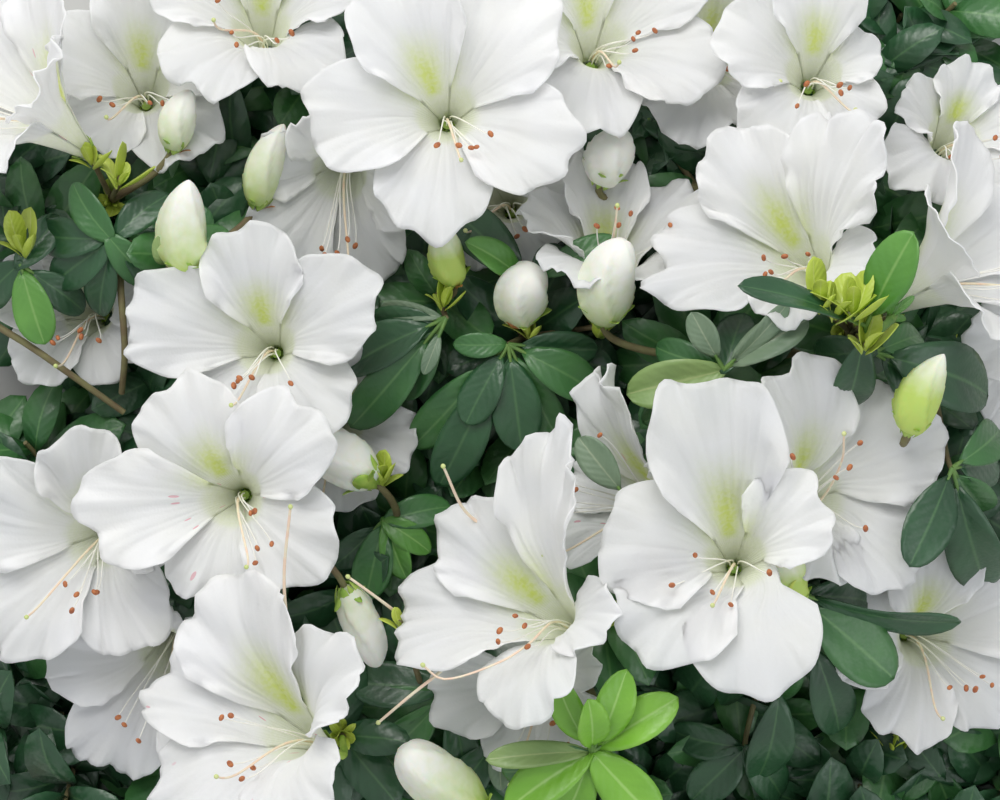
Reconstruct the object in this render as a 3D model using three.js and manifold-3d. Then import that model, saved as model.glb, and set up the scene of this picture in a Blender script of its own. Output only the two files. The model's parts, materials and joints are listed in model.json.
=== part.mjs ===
// A flowering branch of a white azalea, cut from the shrub and laid down with its blooms upwards.
// Millimetres, +Z up. The branch lies on the plane z = 0, its cut end towards -X -Y and its tips towards
// +Y. Every bloom, every mass of leafy twigs and every woody limb is one closed solid.
import * as THREE from "three";
import { mergeVertices } from "three/addons/utils/BufferGeometryUtils.js";
import Module from "manifold-3d";

const wasm = await Module();
wasm.setup();

// Driving dimensions
const GAP = 0.3; // between neighbouring solids
const TUBE_LENGTH = 17; // corolla tube, from its base to the throat
const TUBE_BASE_RADIUS = 2;
const THROAT_RADIUS = 7.5;
const LOBE_LENGTH = 36; // one of the five lobes, from the throat to its tip
const FLARE_START = 24; // degrees between the facing axis and the lobe at the throat
const SINUS_REACH = 0.64; // how far out two neighbouring lobes stay joined
const PETAL_WALL = 0.8;
const RUFFLE = 1.6; // waves of the rim
const COROLLA_ROWS = [0, 0.5, 1]; // from the throat out to the rim
const TUBE_FLOOR = 4; // from the tube's base up to the bottom of its hollow
const STALK_RADIUS = 0.9;
const STALK_STRAIGHT = 7; // of a flower stalk, in line with its bloom
const CALYX_RADIUS = 3;
const CALYX_HEIGHT = 1.2;
const KNOB_RADIUS = 2.6; // scales at the twig's tip, where the flower stalks start
const LEAF_THICKNESS = 0.9; // at the midrib
const LEAF_WIDTH = 0.5; // share of its length
const LEAF_WIDEST = 0.56; // share of its length
const LEAF_FOLD = 0.25; // rise of its edges over its midrib, as a share of its half width
const LEAF_DROOP = 0.06; // fall of its tip, as a share of its length
const LEAF_ROOM = 1; // kept free about a leaf
const LEAST_VOLUME = 1e-6; // that two solids which touch have in common
const OUTER_PART = 0.14; // share of a leaf's length from which it has to clear its neighbours
const TWIG_TIP_RADIUS = 1.1;
const TWIG_ROOT_RADIUS = 1.9;
const STEM_LENGTH = 8; // of a mass's stem, before it forks
const STEM_RADIUS = 2;
const TWIG_STEP = 14; // between two rings of a bare twig
const WHORL_START = 4; // from a shoot's tip back to its first leaf
const WHORL_LENGTH = 16;
const LEAN = { lowest: 90, highest: 46, spread: 14, more: 8 }; // degrees between a leaf and its twig
const GOLDEN_ANGLE = 137.5;
const FLOOR_CLEARANCE = 0.2;
const ATTEMPTS = 9; // at placing a leaf, three on each side of its twig

// Trunk and boughs: points along the middle, and the radius at the first and the last
const LIMBS = [
  { name: "main_stem", from: null, radii: [6.5, 3.2],
    path: [
      [-166, -146, 6.5], [-122, -114, 6.2], [-75, -78, 6.5], [-25, -45, 8], [20, -18, 11], [44, -3, 14],
    ] },
  { name: "bough_left_low", from: "main_stem", radii: [3, 2.1],
    path: [[-122, -114, 6.2], [-108, -80, 8], [-92, -50, 13]] },
  { name: "bough_lower_left", from: "main_stem", radii: [3, 2.1],
    path: [[-98, -95, 6.3], [-78, -104, 8], [-62, -102, 13]] },
  { name: "bough_left", from: "main_stem", radii: [3.6, 2.2],
    path: [[-75, -78, 6.5], [-74, -42, 8], [-64, -8, 13]] },
  { name: "bough_left_top", from: "bough_left", radii: [2.6, 2],
    path: [[-74, -42, 8], [-88, 0, 8], [-100, 36, 14]] },
  { name: "bough_top", from: "main_stem", radii: [3.4, 2.1],
    path: [[-38, -53, 7.5], [-40, -12, 7], [-32, 26, 8], [-26, 52, 13]] },
  { name: "bough_top_left", from: "bough_top", radii: [2.4, 2],
    path: [[-36, 10, 7.4], [-50, 38, 6], [-60, 62, 11]] },
  { name: "bough_centre_front", from: "main_stem", radii: [2.8, 2.1],
    path: [[-15, -39, 8.7], [0, -58, 12], [10, -67, 20]] },
  { name: "bough_centre", from: "main_stem", radii: [2.4, 2],
    path: [[-8, -35, 9.2], [2, -14, 9], [4, 4, 13]] },
  { name: "bough_mid", from: "main_stem", radii: [2.8, 2.1],
    path: [[22, -17, 11.2], [26, 18, 8], [25, 46, 12]] },
  { name: "bough_right_front", from: "main_stem", radii: [2.6, 2.1],
    path: [[26, -14, 11.8], [40, -26, 15], [52, -31, 24]] },
  { name: "bough_right", from: "main_stem", radii: [2.9, 2.2],
    path: [[44, -3, 14], [64, 4, 17], [82, 9, 26]] },
  { name: "bough_top_right", from: "bough_right", radii: [2.4, 1.9],
    path: [[60, 2.5, 16.4], [78, 34, 8], [94, 58, 11]] },
  { name: "bough_right_low", from: "main_stem", radii: [2.8, 2],
    path: [[2, -28, 9.8], [44, -58, 5], [92, -72, 10]] },
];

// Blooms. throat is the mouth of the tube, facing points out of it, and blotch is the direction, in
// degrees from +X seen from above, of the spotted lobe. lobes give each lobe's length and the angle that
// its tip bends to.
const BLOOMS = [
  { name: "bloom_front_right", truss: "front_right", throat: [64, -43, 93], facing: [-0.05, 0.25, 1],
    blotch: 103, lobes: [[1.38, 84], [1.02, 98], [1.08, 104], [1.12, 104], [0.76, 78]] },
  { name: "bloom_front_left", truss: "front_right", throat: [40, -29, 76], facing: [-0.7, 0.2, 0.68],
    blotch: 84, lobes: [[1.05, 64], [0.5, 80], [0.75, 90], [0.5, 70], [0.5, 60]] },
  { name: "bloom_right", truss: "front_right", throat: [86, -27, 79], facing: [0.3, 0.15, 0.92],
    blotch: 122, lobes: [[1.12, 80], [0.45, 94], [0.6, 100], [0.9, 100], [1.0, 90]] },
  { name: "bloom_centre", truss: "centre", throat: [14, -59, 94], facing: [-0.5, 0.35, 0.8],
    blotch: 133, lobes: [[0.98, 86], [1.1, 98], [0.9, 104], [0.62, 96], [1.42, 74]] },
  { name: "bloom_centre_low", truss: "centre", throat: [13.5, -78, 60], facing: [-0.3, -0.25, 0.92],
    blotch: 110, lobes: [[0.35, 100], [0.82, 94], [0.72, 98], [0.6, 96], [0.45, 92]] },
  { name: "bloom_lower_left", truss: "lower_left", throat: [-56, -91, 90], facing: [-0.5, 0.35, 0.8],
    blotch: 105, lobes: [[1.2, 84], [1.08, 96], [1.1, 102], [0.95, 100], [0.85, 94]] },
  { name: "bloom_upper_right", truss: "upper_right", throat: [84, 38, 84], facing: [-0.4, 0.35, 0.85],
    blotch: 122, lobes: [[1.05, 76], [1.12, 90], [0.55, 88], [0.62, 86], [1.15, 74]] },
  { name: "bloom_upper_side", truss: "upper_right", throat: [119, 33, 84], facing: [0.75, 0.5, 0.5],
    blotch: 100, lobes: [[1.1, 60], [0.9, 74], [0.9, 92], [0.9, 88], [0.95, 70]] },
  { name: "bloom_top_centre", truss: "top_centre", throat: [-15, 80, 72], facing: [0, 0.1, 1],
    blotch: 118, lobes: [[1.12, 92], [1.08, 98], [1.05, 100], [1.08, 96], [1.1, 94]] },
  { name: "bloom_top_low", truss: "top_centre", throat: [-46, 66, 46], facing: [-0.2, -0.5, 0.8],
    blotch: 80, lobes: [[0.75, 70], [0.6, 90], [0.85, 96], [0.8, 96], [0.8, 84]] },
  { name: "bloom_top", truss: "top", throat: [28, 102, 50], facing: [0.1, 0.3, 1],
    blotch: 110, lobes: [[1.0, 84], [1.0, 90], [1.0, 94], [1.0, 90], [1.0, 86]] },
  { name: "bloom_top_right", truss: "top", throat: [62, 99, 36], facing: [0.15, 0.2, 1],
    blotch: 95, lobes: [[1.0, 84], [0.55, 84], [0.9, 90], [0.7, 94], [0.4, 86]] },
  { name: "bloom_far_right", truss: "far_right", throat: [89, 92, 61], facing: [0, 0.15, 1],
    blotch: 90, lobes: [[0.85, 84], [0.85, 84], [0.8, 94], [0.55, 94], [0.4, 86]] },
  { name: "bloom_right_top", truss: "right_top", throat: [132, 76, 38], facing: [0.2, 0.3, 0.9],
    blotch: 80, lobes: [[0.5, 84], [0.5, 84], [0.9, 94], [0.9, 94], [0.6, 86]] },
  { name: "bloom_top_left", truss: "top_left", throat: [-69, 107, 45], facing: [0, 0.4, 0.9],
    blotch: 90, lobes: [[0.95, 84], [0.95, 90], [0.95, 94], [0.9, 90], [0.95, 86]] },
  { name: "bloom_left_top", truss: "left_top", throat: [-126, 78, 72], facing: [-0.6, 0.5, 0.6],
    blotch: 60, lobes: [[1.15, 70], [1.1, 80], [1.1, 96], [1.0, 92], [0.9, 66]] },
  { name: "bloom_left_back", truss: "left_back", throat: [-105, 91, 34], facing: [0.05, 0.2, 1],
    blotch: 90, lobes: [[0.9, 80], [0.85, 84], [0.7, 90], [0.85, 90], [0.7, 84]] },
  { name: "bloom_left_mid", truss: "left", throat: [-66, 15, 62], facing: [-0.1, 0.1, 1],
    blotch: 95, lobes: [[0.9, 88], [1.05, 92], [0.88, 100], [0.92, 100], [1.05, 90]] },
  { name: "bloom_shaded", truss: "left", throat: [-48, -7, 41], facing: [0.1, -0.1, 1],
    blotch: 60, lobes: [[0.65, 84], [0.4, 90], [0.6, 92], [0.6, 92], [0.6, 84]] },
  { name: "bloom_left_low", truss: "left_low", throat: [-74, -27, 75], facing: [-0.1, 0, 1],
    blotch: 115, lobes: [[0.98, 96], [1.1, 94], [0.78, 106], [0.95, 98], [1.0, 94]] },
  { name: "bloom_left_edge", truss: "left_edge", throat: [-114, -39, 60], facing: [-0.15, -0.1, 1],
    blotch: 85, lobes: [[0.9, 90], [1.05, 94], [1.05, 98], [0.9, 100], [0.66, 96]] },
  { name: "bloom_left_under", truss: "left_edge", throat: [-96, -73, 42], facing: [-0.1, -0.45, 1],
    blotch: 90, lobes: [[0.55, 80], [0.9, 92], [1.0, 96], [1.0, 94], [0.85, 86]] },
  { name: "bloom_mid", truss: "mid", throat: [31, 38, 58], facing: [0.05, 0.8, 0.6],
    blotch: 92, lobes: [[0.8, 56], [0.75, 76], [0.75, 96], [0.75, 96], [0.8, 76]] },
  { name: "bloom_mid_back", truss: "mid", throat: [2, 59, 33], facing: [-0.1, 0.2, 1],
    blotch: 90, lobes: [[0.85, 84], [0.5, 88], [0.65, 96], [0.6, 90], [0.7, 80]] },
  { name: "bloom_right_low", truss: "right_low", throat: [122, -69, 46], facing: [0.2, 0, 1],
    blotch: 100, lobes: [[1.0, 88], [1.0, 92], [0.82, 96], [0.8, 96], [1.0, 92]] },
  { name: "bloom_right_edge", truss: "right_edge", throat: [151, 18, 46], facing: [0.4, -0.2, 0.85],
    blotch: 20, lobes: [[0.9, 84], [0.8, 88], [0.75, 94], [0.8, 94], [0.9, 86]] },
  { name: "bloom_left_hidden", truss: "left_hidden", throat: [-120, 26, 36], facing: [-0.2, 0.1, 1],
    blotch: 90, lobes: [[0.6, 86], [0.65, 90], [0.65, 94], [0.6, 94], [0.6, 88]] },
];

// Masses of leafy twigs. The stem of a mass goes on from its bough's end and forks into shoots, each with
// a whorl of leaves below its tip. A shoot with a truss ends in the knob that the flower stalks leave, and
// one with a bud in it.
const MASSES = [
  { name: "leaves_right_front", bough: "bough_right_front", seed: 11, shoots: [
    { truss: "front_right", tip: [66, -32, 58], axis: [0.1, 0, 1], leaves: 8, length: 30 },
    { tip: [122, -26, 50], axis: [0.5, 0.1, 0.8], leaves: 7, length: 31 },
    { tip: [88, -58, 50], axis: [0.3, -0.5, 0.7], leaves: 7, length: 30 },
  ] },
  { name: "leaves_centre_front", bough: "bough_centre_front", seed: 12, shoots: [
    { truss: "centre", tip: [31, -60, 58], axis: [0.2, 0, 1], leaves: 7, length: 28 },
    { tip: [35, -100, 70], axis: [0.1, -0.1, 1], leaves: 8, length: 26 },
    { tip: [-22, -84, 44], axis: [-0.2, -0.2, 1], leaves: 7, length: 29 },
    { tip: [-18, -108, 52], axis: [0, 0.1, 1], leaves: 4, length: 26, bud: [20, 5.5] },
  ] },
  { name: "leaves_lower_left", bough: "bough_lower_left", seed: 13, shoots: [
    { truss: "lower_left", tip: [-45, -96, 56], axis: [0.1, 0, 1], leaves: 7, length: 28 },
    { tip: [-92, -124, 24], axis: [-0.3, -0.5, 0.8], leaves: 7, length: 30 },
    { tip: [-30, -128, 20], axis: [0.4, -0.5, 0.7], leaves: 7, length: 30 },
  ] },
  { name: "leaves_upper_right", bough: "bough_right", seed: 14, shoots: [
    { truss: "upper_right", tip: [99, 19, 56], axis: [0.1, 0.1, 1], leaves: 8, length: 30 },
    { tip: [55, 12, 60], axis: [-0.3, 0, 1], leaves: 7, length: 27 },
    { tip: [122, 4, 60], axis: [0.3, 0.5, 0.8], leaves: 4, length: 30, bud: [19, 4.6] },
    { truss: "right_edge", tip: [132, 16, 30], axis: [0.9, 0.1, 0.2], leaves: 7, length: 30 },
  ] },
  { name: "leaves_centre", bough: "bough_centre", seed: 15, shoots: [
    { tip: [7, 18, 50], axis: [0, 0.1, 1], leaves: 8, length: 28, bud: [16, 6] },
    { tip: [-18, 30, 46], axis: [-0.2, 0.2, 1], leaves: 7, length: 27 },
    { tip: [-16, 2, 34], axis: [-0.3, -0.2, 1], leaves: 7, length: 30 },
    { tip: [24, -8, 34], axis: [0.2, -0.3, 1], leaves: 7, length: 30 },
    { tip: [-30, -36, 34], axis: [-0.2, -0.3, 1], leaves: 7, length: 30 },
  ] },
  { name: "leaves_top", bough: "bough_top", seed: 16, shoots: [
    { truss: "top_centre", tip: [-24, 72, 38], axis: [0, 0.1, 1], leaves: 7, length: 28 },
    { tip: [-28, 112, 22], axis: [0, 0.7, 0.7], leaves: 7, length: 30 },
  ] },
  { name: "leaves_top_right", bough: "bough_top_right", seed: 17, shoots: [
    { truss: "far_right", tip: [96, 80, 20], axis: [-0.1, 0.6, 0.7], leaves: 7, length: 30 },
    { truss: "right_top", tip: [122, 60, 15], axis: [0.8, -0.1, 0.5], leaves: 7, length: 30 },
    { tip: [118, 104, 24], axis: [0.4, 0.6, 0.6], leaves: 7, length: 30 },
  ] },
  { name: "leaves_mid", bough: "bough_mid", seed: 18, shoots: [
    { truss: "mid", tip: [22, 34, 24], axis: [0, -0.6, 0.8], leaves: 7, length: 28 },
    { truss: "top", tip: [45, 88, 11], axis: [0.4, 0.7, 0.3], leaves: 7, length: 28 },
    { tip: [58, 62, 40], axis: [0.2, 0.1, 1], leaves: 7, length: 28 },
  ] },
  { name: "leaves_top_left", bough: "bough_top_left", seed: 19, shoots: [
    { truss: "top_left", tip: [-70, 92, 18], axis: [-0.1, 0.7, 0.7], leaves: 7, length: 29 },
    { truss: "left_back", tip: [-91, 99, 9], axis: [-0.8, 0.5, 0.2], leaves: 7, length: 30 },
  ] },
  { name: "leaves_left_top", bough: "bough_left_top", seed: 20, shoots: [
    { truss: "left_top", tip: [-112, 58, 44], axis: [0, 0.1, 1], leaves: 7, length: 28 },
    { tip: [-88, 42, 56], axis: [0.1, 0.3, 1], leaves: 5, length: 26, bud: [22, 6] },
    { tip: [-136, 48, 46], axis: [-0.4, 0.1, 1], leaves: 7, length: 28 },
    { truss: "left_hidden", tip: [-111, 32, 14], axis: [-0.6, -0.7, 0.4], leaves: 7, length: 28 },
  ] },
  { name: "leaves_left", bough: "bough_left", seed: 21, shoots: [
    { truss: "left", tip: [-60, 4, 27], axis: [0, 0, 1], leaves: 7, length: 28 },
    { tip: [-104, 0, 30], axis: [-0.3, 0, 1], leaves: 7, length: 28 },
  ] },
  { name: "leaves_left_low", bough: "bough_left_low", seed: 22, shoots: [
    { truss: "left_low", tip: [-72, -34, 48], axis: [0, 0, 1], leaves: 7, length: 28 },
    { truss: "left_edge", tip: [-105, -48, 36], axis: [0, 0, 1], leaves: 7, length: 28 },
    { tip: [-142, -60, 24], axis: [-0.5, -0.2, 0.8], leaves: 7, length: 30 },
    { tip: [-134, -96, 20], axis: [-0.4, -0.4, 0.8], leaves: 7, length: 30 },
  ] },
  { name: "leaves_right_low", bough: "bough_right_low", seed: 23, shoots: [
    { truss: "right_low", tip: [116, -68, 18], axis: [0.7, 0.3, 0.7], leaves: 7, length: 30 },
    { tip: [72, -90, 36], axis: [0, -0.3, 1], leaves: 7, length: 30 },
    { tip: [104, -108, 26], axis: [0.1, -0.4, 0.9], leaves: 7, length: 30 },
    { tip: [144, -102, 22], axis: [0.4, -0.3, 0.8], leaves: 7, length: 30 },
    { tip: [40, -120, 24], axis: [-0.1, -0.4, 0.9], leaves: 7, length: 30 },
  ] },
];

const FINISHES = {
  bark: { color: 0x6f5444, roughness: 0.85 },
  leaf: { color: 0x2f5a2c, roughness: 0.45 },
  petal: { color: 0xf4f3f1, roughness: 0.6 },
};

const radians = THREE.MathUtils.degToRad;
const vector = (a) => new THREE.Vector3(...a);
const COUNT_FROM = new THREE.Vector3(0.31, 0.95, 0.05); // the side on which a limb's rings start

// A repeatable source of numbers from 0 to 1
function seeded(seed) {
  let state = seed >>> 0;
  return () => {
    state = (state + 0x6d2b79f5) >>> 0;
    let t = Math.imul(state ^ (state >>> 15), 1 | state);
    t = (t + Math.imul(t ^ (t >>> 7), 61 | t)) ^ t;
    return ((t ^ (t >>> 14)) >>> 0) / 4294967296;
  };
}

// Between three.js geometry and solids that can be cut and joined
function solidOf(geometry) {
  const plain = new THREE.BufferGeometry()
    .setAttribute("position", geometry.getAttribute("position"))
    .setIndex(geometry.index);
  const merged = mergeVertices(plain, 1e-4);
  return new wasm.Manifold(new wasm.Mesh({
    numProp: 3,
    vertProperties: merged.attributes.position.array,
    triVerts: new Uint32Array(merged.index.array),
  }));
}

function geometryOf(solid) {
  const mesh = solid.getMesh();
  const geometry = new THREE.BufferGeometry();
  geometry.setAttribute("position", new THREE.BufferAttribute(mesh.vertProperties, 3));
  geometry.setIndex(new THREE.BufferAttribute(mesh.triVerts, 1));
  geometry.computeVertexNormals();
  return geometry;
}

// A closed surface through rings of points. The first and the last ring is a single point. Two
// neighbouring rings are joined by walking round both and stepping on whichever is behind. The last
// strips, as many as back says, run back inside a sheet and step the other way where neither is behind, so
// that both of its sides crease alike.
function geometryFromRings(rings, back = 0) {
  const points = rings.flat();
  const faces = [];
  let start = 0;
  for (let r = 0; r + 1 < rings.length; r++) {
    const [near, far] = [rings[r].length, rings[r + 1].length];
    const nearAt = (i) => start + (i % near);
    const farAt = (j) => start + near + (j % far);
    const [nearSteps, farSteps] = [near, far].map((count) => (count > 1 ? count : 0));
    const lead = r + 1 < rings.length - back ? 0 : 0.5;
    let [i, j] = [0, 0];
    while (i < nearSteps || j < farSteps) {
      if (i < nearSteps && (j >= farSteps || (i + 1 + lead) / near <= (j + 1) / far)) {
        faces.push(nearAt(i), nearAt(i + 1), farAt(j));
        i += 1;
      } else {
        faces.push(nearAt(i), farAt(j + 1), farAt(j));
        j += 1;
      }
    }
    start += near;
  }
  return new THREE.BufferGeometry().setFromPoints(points).setIndex(faces);
}

// Evenly spaced points of a smooth curve
function stationsAlong(points, steps) {
  return new THREE.CatmullRomCurve3(points).getSpacedPoints(steps);
}

// Round rings about the stations, each with its radius and its turn in degrees about the middle line,
// which don't twist otherwise. side is where the first ring's count starts.
function ringsAlong(stations, sides, side, radiusOf, turnOf = () => 0) {
  const last = stations.length - 1;
  const first = side.clone();
  return stations.map((middle, i) => {
    const before = stations[Math.max(0, i - 1)];
    const after = stations[Math.min(last, i + 1)];
    const along = after.clone().sub(before).normalize();
    first.addScaledVector(along, -first.dot(along)).normalize();
    const up = along.clone().cross(first);
    return Array.from({ length: sides }, (_, k) => {
      const turn = (2 * Math.PI * k) / sides + radians(turnOf(i));
      return middle.clone()
        .addScaledVector(first, radiusOf(i) * Math.cos(turn))
        .addScaledVector(up, radiusOf(i) * Math.sin(turn));
    });
  });
}

// A tapering round limb through the stations, cut flat at both ends
function limbGeometry(stations, radii, sides) {
  const radiusOf = (i) => THREE.MathUtils.lerp(radii[0], radii[1], i / (stations.length - 1));
  const rings = ringsAlong(stations, sides, COUNT_FROM, radiusOf);
  return geometryFromRings([[stations[0]], ...rings, [stations.at(-1)]]);
}

const limbSolid = (...args) => solidOf(limbGeometry(...args));

// The part of a solid that is left after a cut and holds most of it
function largestBody(solid) {
  return solid.decompose().reduce((a, b) => (a.volume() > b.volume() ? a : b));
}

// Right-handed axes with z along the facing direction and x as near as possible to a direction seen from
// above
function axesFor(facing, turnDegrees) {
  const z = vector(facing).normalize();
  const x = new THREE.Vector3(Math.cos(radians(turnDegrees)), Math.sin(radians(turnDegrees)), 0);
  x.addScaledVector(z, -x.dot(z)).normalize();
  return { x, y: new THREE.Vector3().crossVectors(z, x), z };
}

// A point of the corolla's profile: how far from the axis, how far along it, and the slope there
function lobeProfile(share, length, tipAngle) {
  const start = radians(FLARE_START);
  const bend = radians(tipAngle) - start;
  const slope = start + bend * share;
  return {
    radius: THROAT_RADIUS + (length * (Math.cos(start) - Math.cos(slope))) / bend,
    along: (length * (Math.sin(slope) - Math.sin(start))) / bend,
    slope,
  };
}

// The funnel of five joined lobes as one thin sheet: its rings from the tube out to the rim and back inside
function corollaRings(bloom, pointAt) {
  const perLobe = 4;
  const columns = 5 * perLobe;
  const reach = [SINUS_REACH, 0.96, 1, 0.96];
  const rowAt = (row, offset) => Array.from({ length: columns }, (_, column) => {
    const lobe = Math.floor(column / perLobe);
    const across = column % perLobe;
    const mix = across === 0 ? 0.5 : 0;
    const [share, tip] = [0, 1].map((n) => {
      return THREE.MathUtils.lerp(bloom.lobes[lobe][n], bloom.lobes[(lobe + 4) % 5][n], mix);
    });
    const place = lobeProfile(row * reach[across], LOBE_LENGTH * share, tip);
    const wave = row === 1 ? RUFFLE * Math.sin(2.4 * column + bloom.blotch) : 0;
    const radius = place.radius + offset * Math.cos(place.slope);
    const along = place.along + wave - offset * Math.sin(place.slope);
    return pointAt((360 * column) / columns - 36, radius, along);
  });
  const outer = COROLLA_ROWS.map((row) => rowAt(row, PETAL_WALL / 2));
  const inner = COROLLA_ROWS.map((row) => rowAt(row, -PETAL_WALL / 2)).reverse();
  return [...outer, ...inner];
}

// A bloom is one closed surface: its stalk, from the knob at the twig's tip, the calyx, the tube and the
// lobes
function bloomSolid(bloom, knob) {
  const { x, y, z } = axesFor(bloom.facing, bloom.blotch);
  const throat = vector(bloom.throat);
  const pointAt = (turn, radius, along) => throat.clone()
    .addScaledVector(x, radius * Math.cos(radians(turn)))
    .addScaledVector(y, radius * Math.sin(radians(turn)))
    .addScaledVector(z, along);
  const fiveAt = (radius, along) => [0, 1, 2, 3, 4].map((k) => pointAt(72 * k - 36, radius, along));
  const base = pointAt(0, 0, -TUBE_LENGTH);
  const before = pointAt(0, 0, -TUBE_LENGTH - STALK_STRAIGHT);
  const start = knob.clone().add(before.clone().sub(knob).setLength(KNOB_RADIUS + GAP));
  const fromBase = stationsAlong([base, before, start], 2);
  const first = pointAt(-36, 1, 0).sub(throat);
  const stalk = ringsAlong(fromBase, 5, first, () => STALK_RADIUS)
    .map((ring) => [ring[0], ...ring.slice(1).reverse()])
    .reverse();
  return solidOf(geometryFromRings([
    [start],
    ...stalk.slice(0, -1),
    fiveAt(STALK_RADIUS, -TUBE_LENGTH),
    fiveAt(CALYX_RADIUS, -TUBE_LENGTH + CALYX_HEIGHT),
    fiveAt(TUBE_BASE_RADIUS, -TUBE_LENGTH + CALYX_HEIGHT + GAP),
    ...corollaRings(bloom, pointAt),
    [pointAt(0, 0, -TUBE_LENGTH + TUBE_FLOOR)],
  ], COROLLA_ROWS.length));
}

// The corners of a leaf's blade, folded a little along its midrib: left, right, tip, and the midrib above
// and below. room is what is kept free above and below it.
function bladeCorners(base, direction, upwards, length, room = 0) {
  const along = direction.clone().normalize();
  const side = new THREE.Vector3().crossVectors(upwards, along).normalize();
  const up = new THREE.Vector3().crossVectors(along, side);
  const half = (length * LEAF_WIDTH) / 2;
  const place = (a, s, u) => base.clone()
    .addScaledVector(along, a).addScaledVector(side, s).addScaledVector(up, u);
  return [
    place(length * LEAF_WIDEST, -half, half * LEAF_FOLD),
    place(length * LEAF_WIDEST, half, half * LEAF_FOLD),
    place(length, 0, -length * LEAF_DROOP),
    place(length * LEAF_WIDEST, 0, LEAF_THICKNESS / 2 + room),
    place(length * LEAF_WIDEST, 0, -LEAF_THICKNESS / 2 - room),
  ];
}

// A leaf from the piece of its twig's side that it grows out of. The first four of its points are that
// piece's corners. The faces that close it there are left out where it is part of its twig.
const LEAF_FACES = [
  [2, 3, 7], [5, 2, 7], [6, 5, 7], [4, 6, 7], [3, 4, 7], [0, 1, 8],
  [1, 5, 8], [5, 6, 8], [6, 4, 8], [4, 0, 8], [1, 2, 5], [3, 0, 4],
];
const LEAF_ROOT_FACES = [[0, 3, 1], [1, 3, 2]];

function leafSolid(corners, base, direction, upwards, length) {
  const points = [...corners, ...bladeCorners(base, direction, upwards, length)];
  const faces = [...LEAF_FACES, ...LEAF_ROOT_FACES].flat();
  return solidOf(new THREE.BufferGeometry().setFromPoints(points).setIndex(faces));
}

// A blade on its own, from a share of its length on: the room that a leaf needs
function bladeSolid(base, direction, upwards, length, room, from) {
  const root = base.clone().addScaledVector(direction.clone().normalize(), length * from);
  const [left, right, tip, above, below] = bladeCorners(base, direction, upwards, length, room);
  const points = [root, left, tip, right, above, below];
  const faces = [0, 1, 2, 3].flatMap((i) => [i, (i + 1) % 4, 4, (i + 1) % 4, i, 5]);
  return solidOf(new THREE.BufferGeometry().setFromPoints(points).setIndex(faces));
}

// A pointed closed flower bud
function budGeometry(tip, axis, length, radius) {
  const { x, y, z } = axesFor(axis.toArray(), 0);
  const pointAt = (turn, width, share) => tip.clone()
    .addScaledVector(x, width * Math.cos(turn))
    .addScaledVector(y, width * Math.sin(turn))
    .addScaledVector(z, length * share);
  const ringAt = (share, width) => {
    return Array.from({ length: 6 }, (_, k) => pointAt((k * Math.PI) / 3, width, share));
  };
  const rings = [ringAt(0.12, radius * 0.6), ringAt(0.42, radius), ringAt(0.75, radius * 0.62)];
  return geometryFromRings([[pointAt(0, 0, -0.1)], ...rings, [pointAt(0, 0, 1)]]);
}

const touches = (solid, other) => {
  const a = solid.boundingBox();
  const b = other.boundingBox();
  for (let axis = 0; axis < 3; axis++) {
    if (a.min[axis] > b.max[axis] || b.min[axis] > a.max[axis]) return false;
  }
  return solid.intersect(other).volume() > LEAST_VOLUME;
};

// The stem of a mass goes straight on from its bough's end
function stemOf(mass) {
  const path = LIMBS.find((limb) => limb.name === mass.bough).path.map(vector);
  const [before, end] = path.slice(-2);
  const along = end.clone().sub(before).normalize();
  const start = end.clone().addScaledVector(along, GAP);
  return { start, fork: end.clone().addScaledVector(along, STEM_LENGTH), along };
}

// The middle line of a shoot, from the fork of its mass's stem to its tip: stations up the bare twig, and
// then one for each pair of leaves. Their rings turn on, so that leaves on the three sides in turn follow
// the golden angle.
function shootFrame(mass, shoot) {
  const { fork, along } = stemOf(mass);
  const tip = vector(shoot.tip);
  const axis = vector(shoot.axis).normalize();
  const rise = fork.distanceTo(tip);
  const start = fork.clone().addScaledVector(along, -2);
  const early = fork.clone().lerp(tip, 0.25).addScaledVector(along, 0.2 * rise);
  const late = tip.clone().addScaledVector(axis, -0.28 * rise);
  late.z = Math.max(late.z, 2 * TWIG_ROOT_RADIUS);
  const curve = new THREE.CatmullRomCurve3([start, early, late, tip]);
  const length = curve.getLength();
  const whorlEnd = 1 - Math.min(WHORL_START / length, 0.2);
  const whorlStart = whorlEnd - Math.min(WHORL_LENGTH / length, 0.6);
  const bare = Math.max(1, Math.round((length * whorlStart) / TWIG_STEP));
  const shares = [];
  for (let i = 0; i < bare; i++) shares.push((whorlStart * i) / bare);
  const pairs = Math.ceil(shoot.leaves / 2);
  for (let i = 0; i <= pairs; i++) shares.push(THREE.MathUtils.lerp(whorlStart, whorlEnd, i / pairs));
  shares.push(1);
  const stations = shares.map((share) => curve.getPointAt(share));
  const radiusOf = (i) => THREE.MathUtils.lerp(TWIG_ROOT_RADIUS, TWIG_TIP_RADIUS, shares[i]);
  const turnOf = (i) => 2 * (GOLDEN_ANGLE - 120) * Math.max(0, i - bare);
  return { axis, bare, stations, rings: ringsAlong(stations, 3, COUNT_FROM, radiusOf, turnOf) };
}

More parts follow.
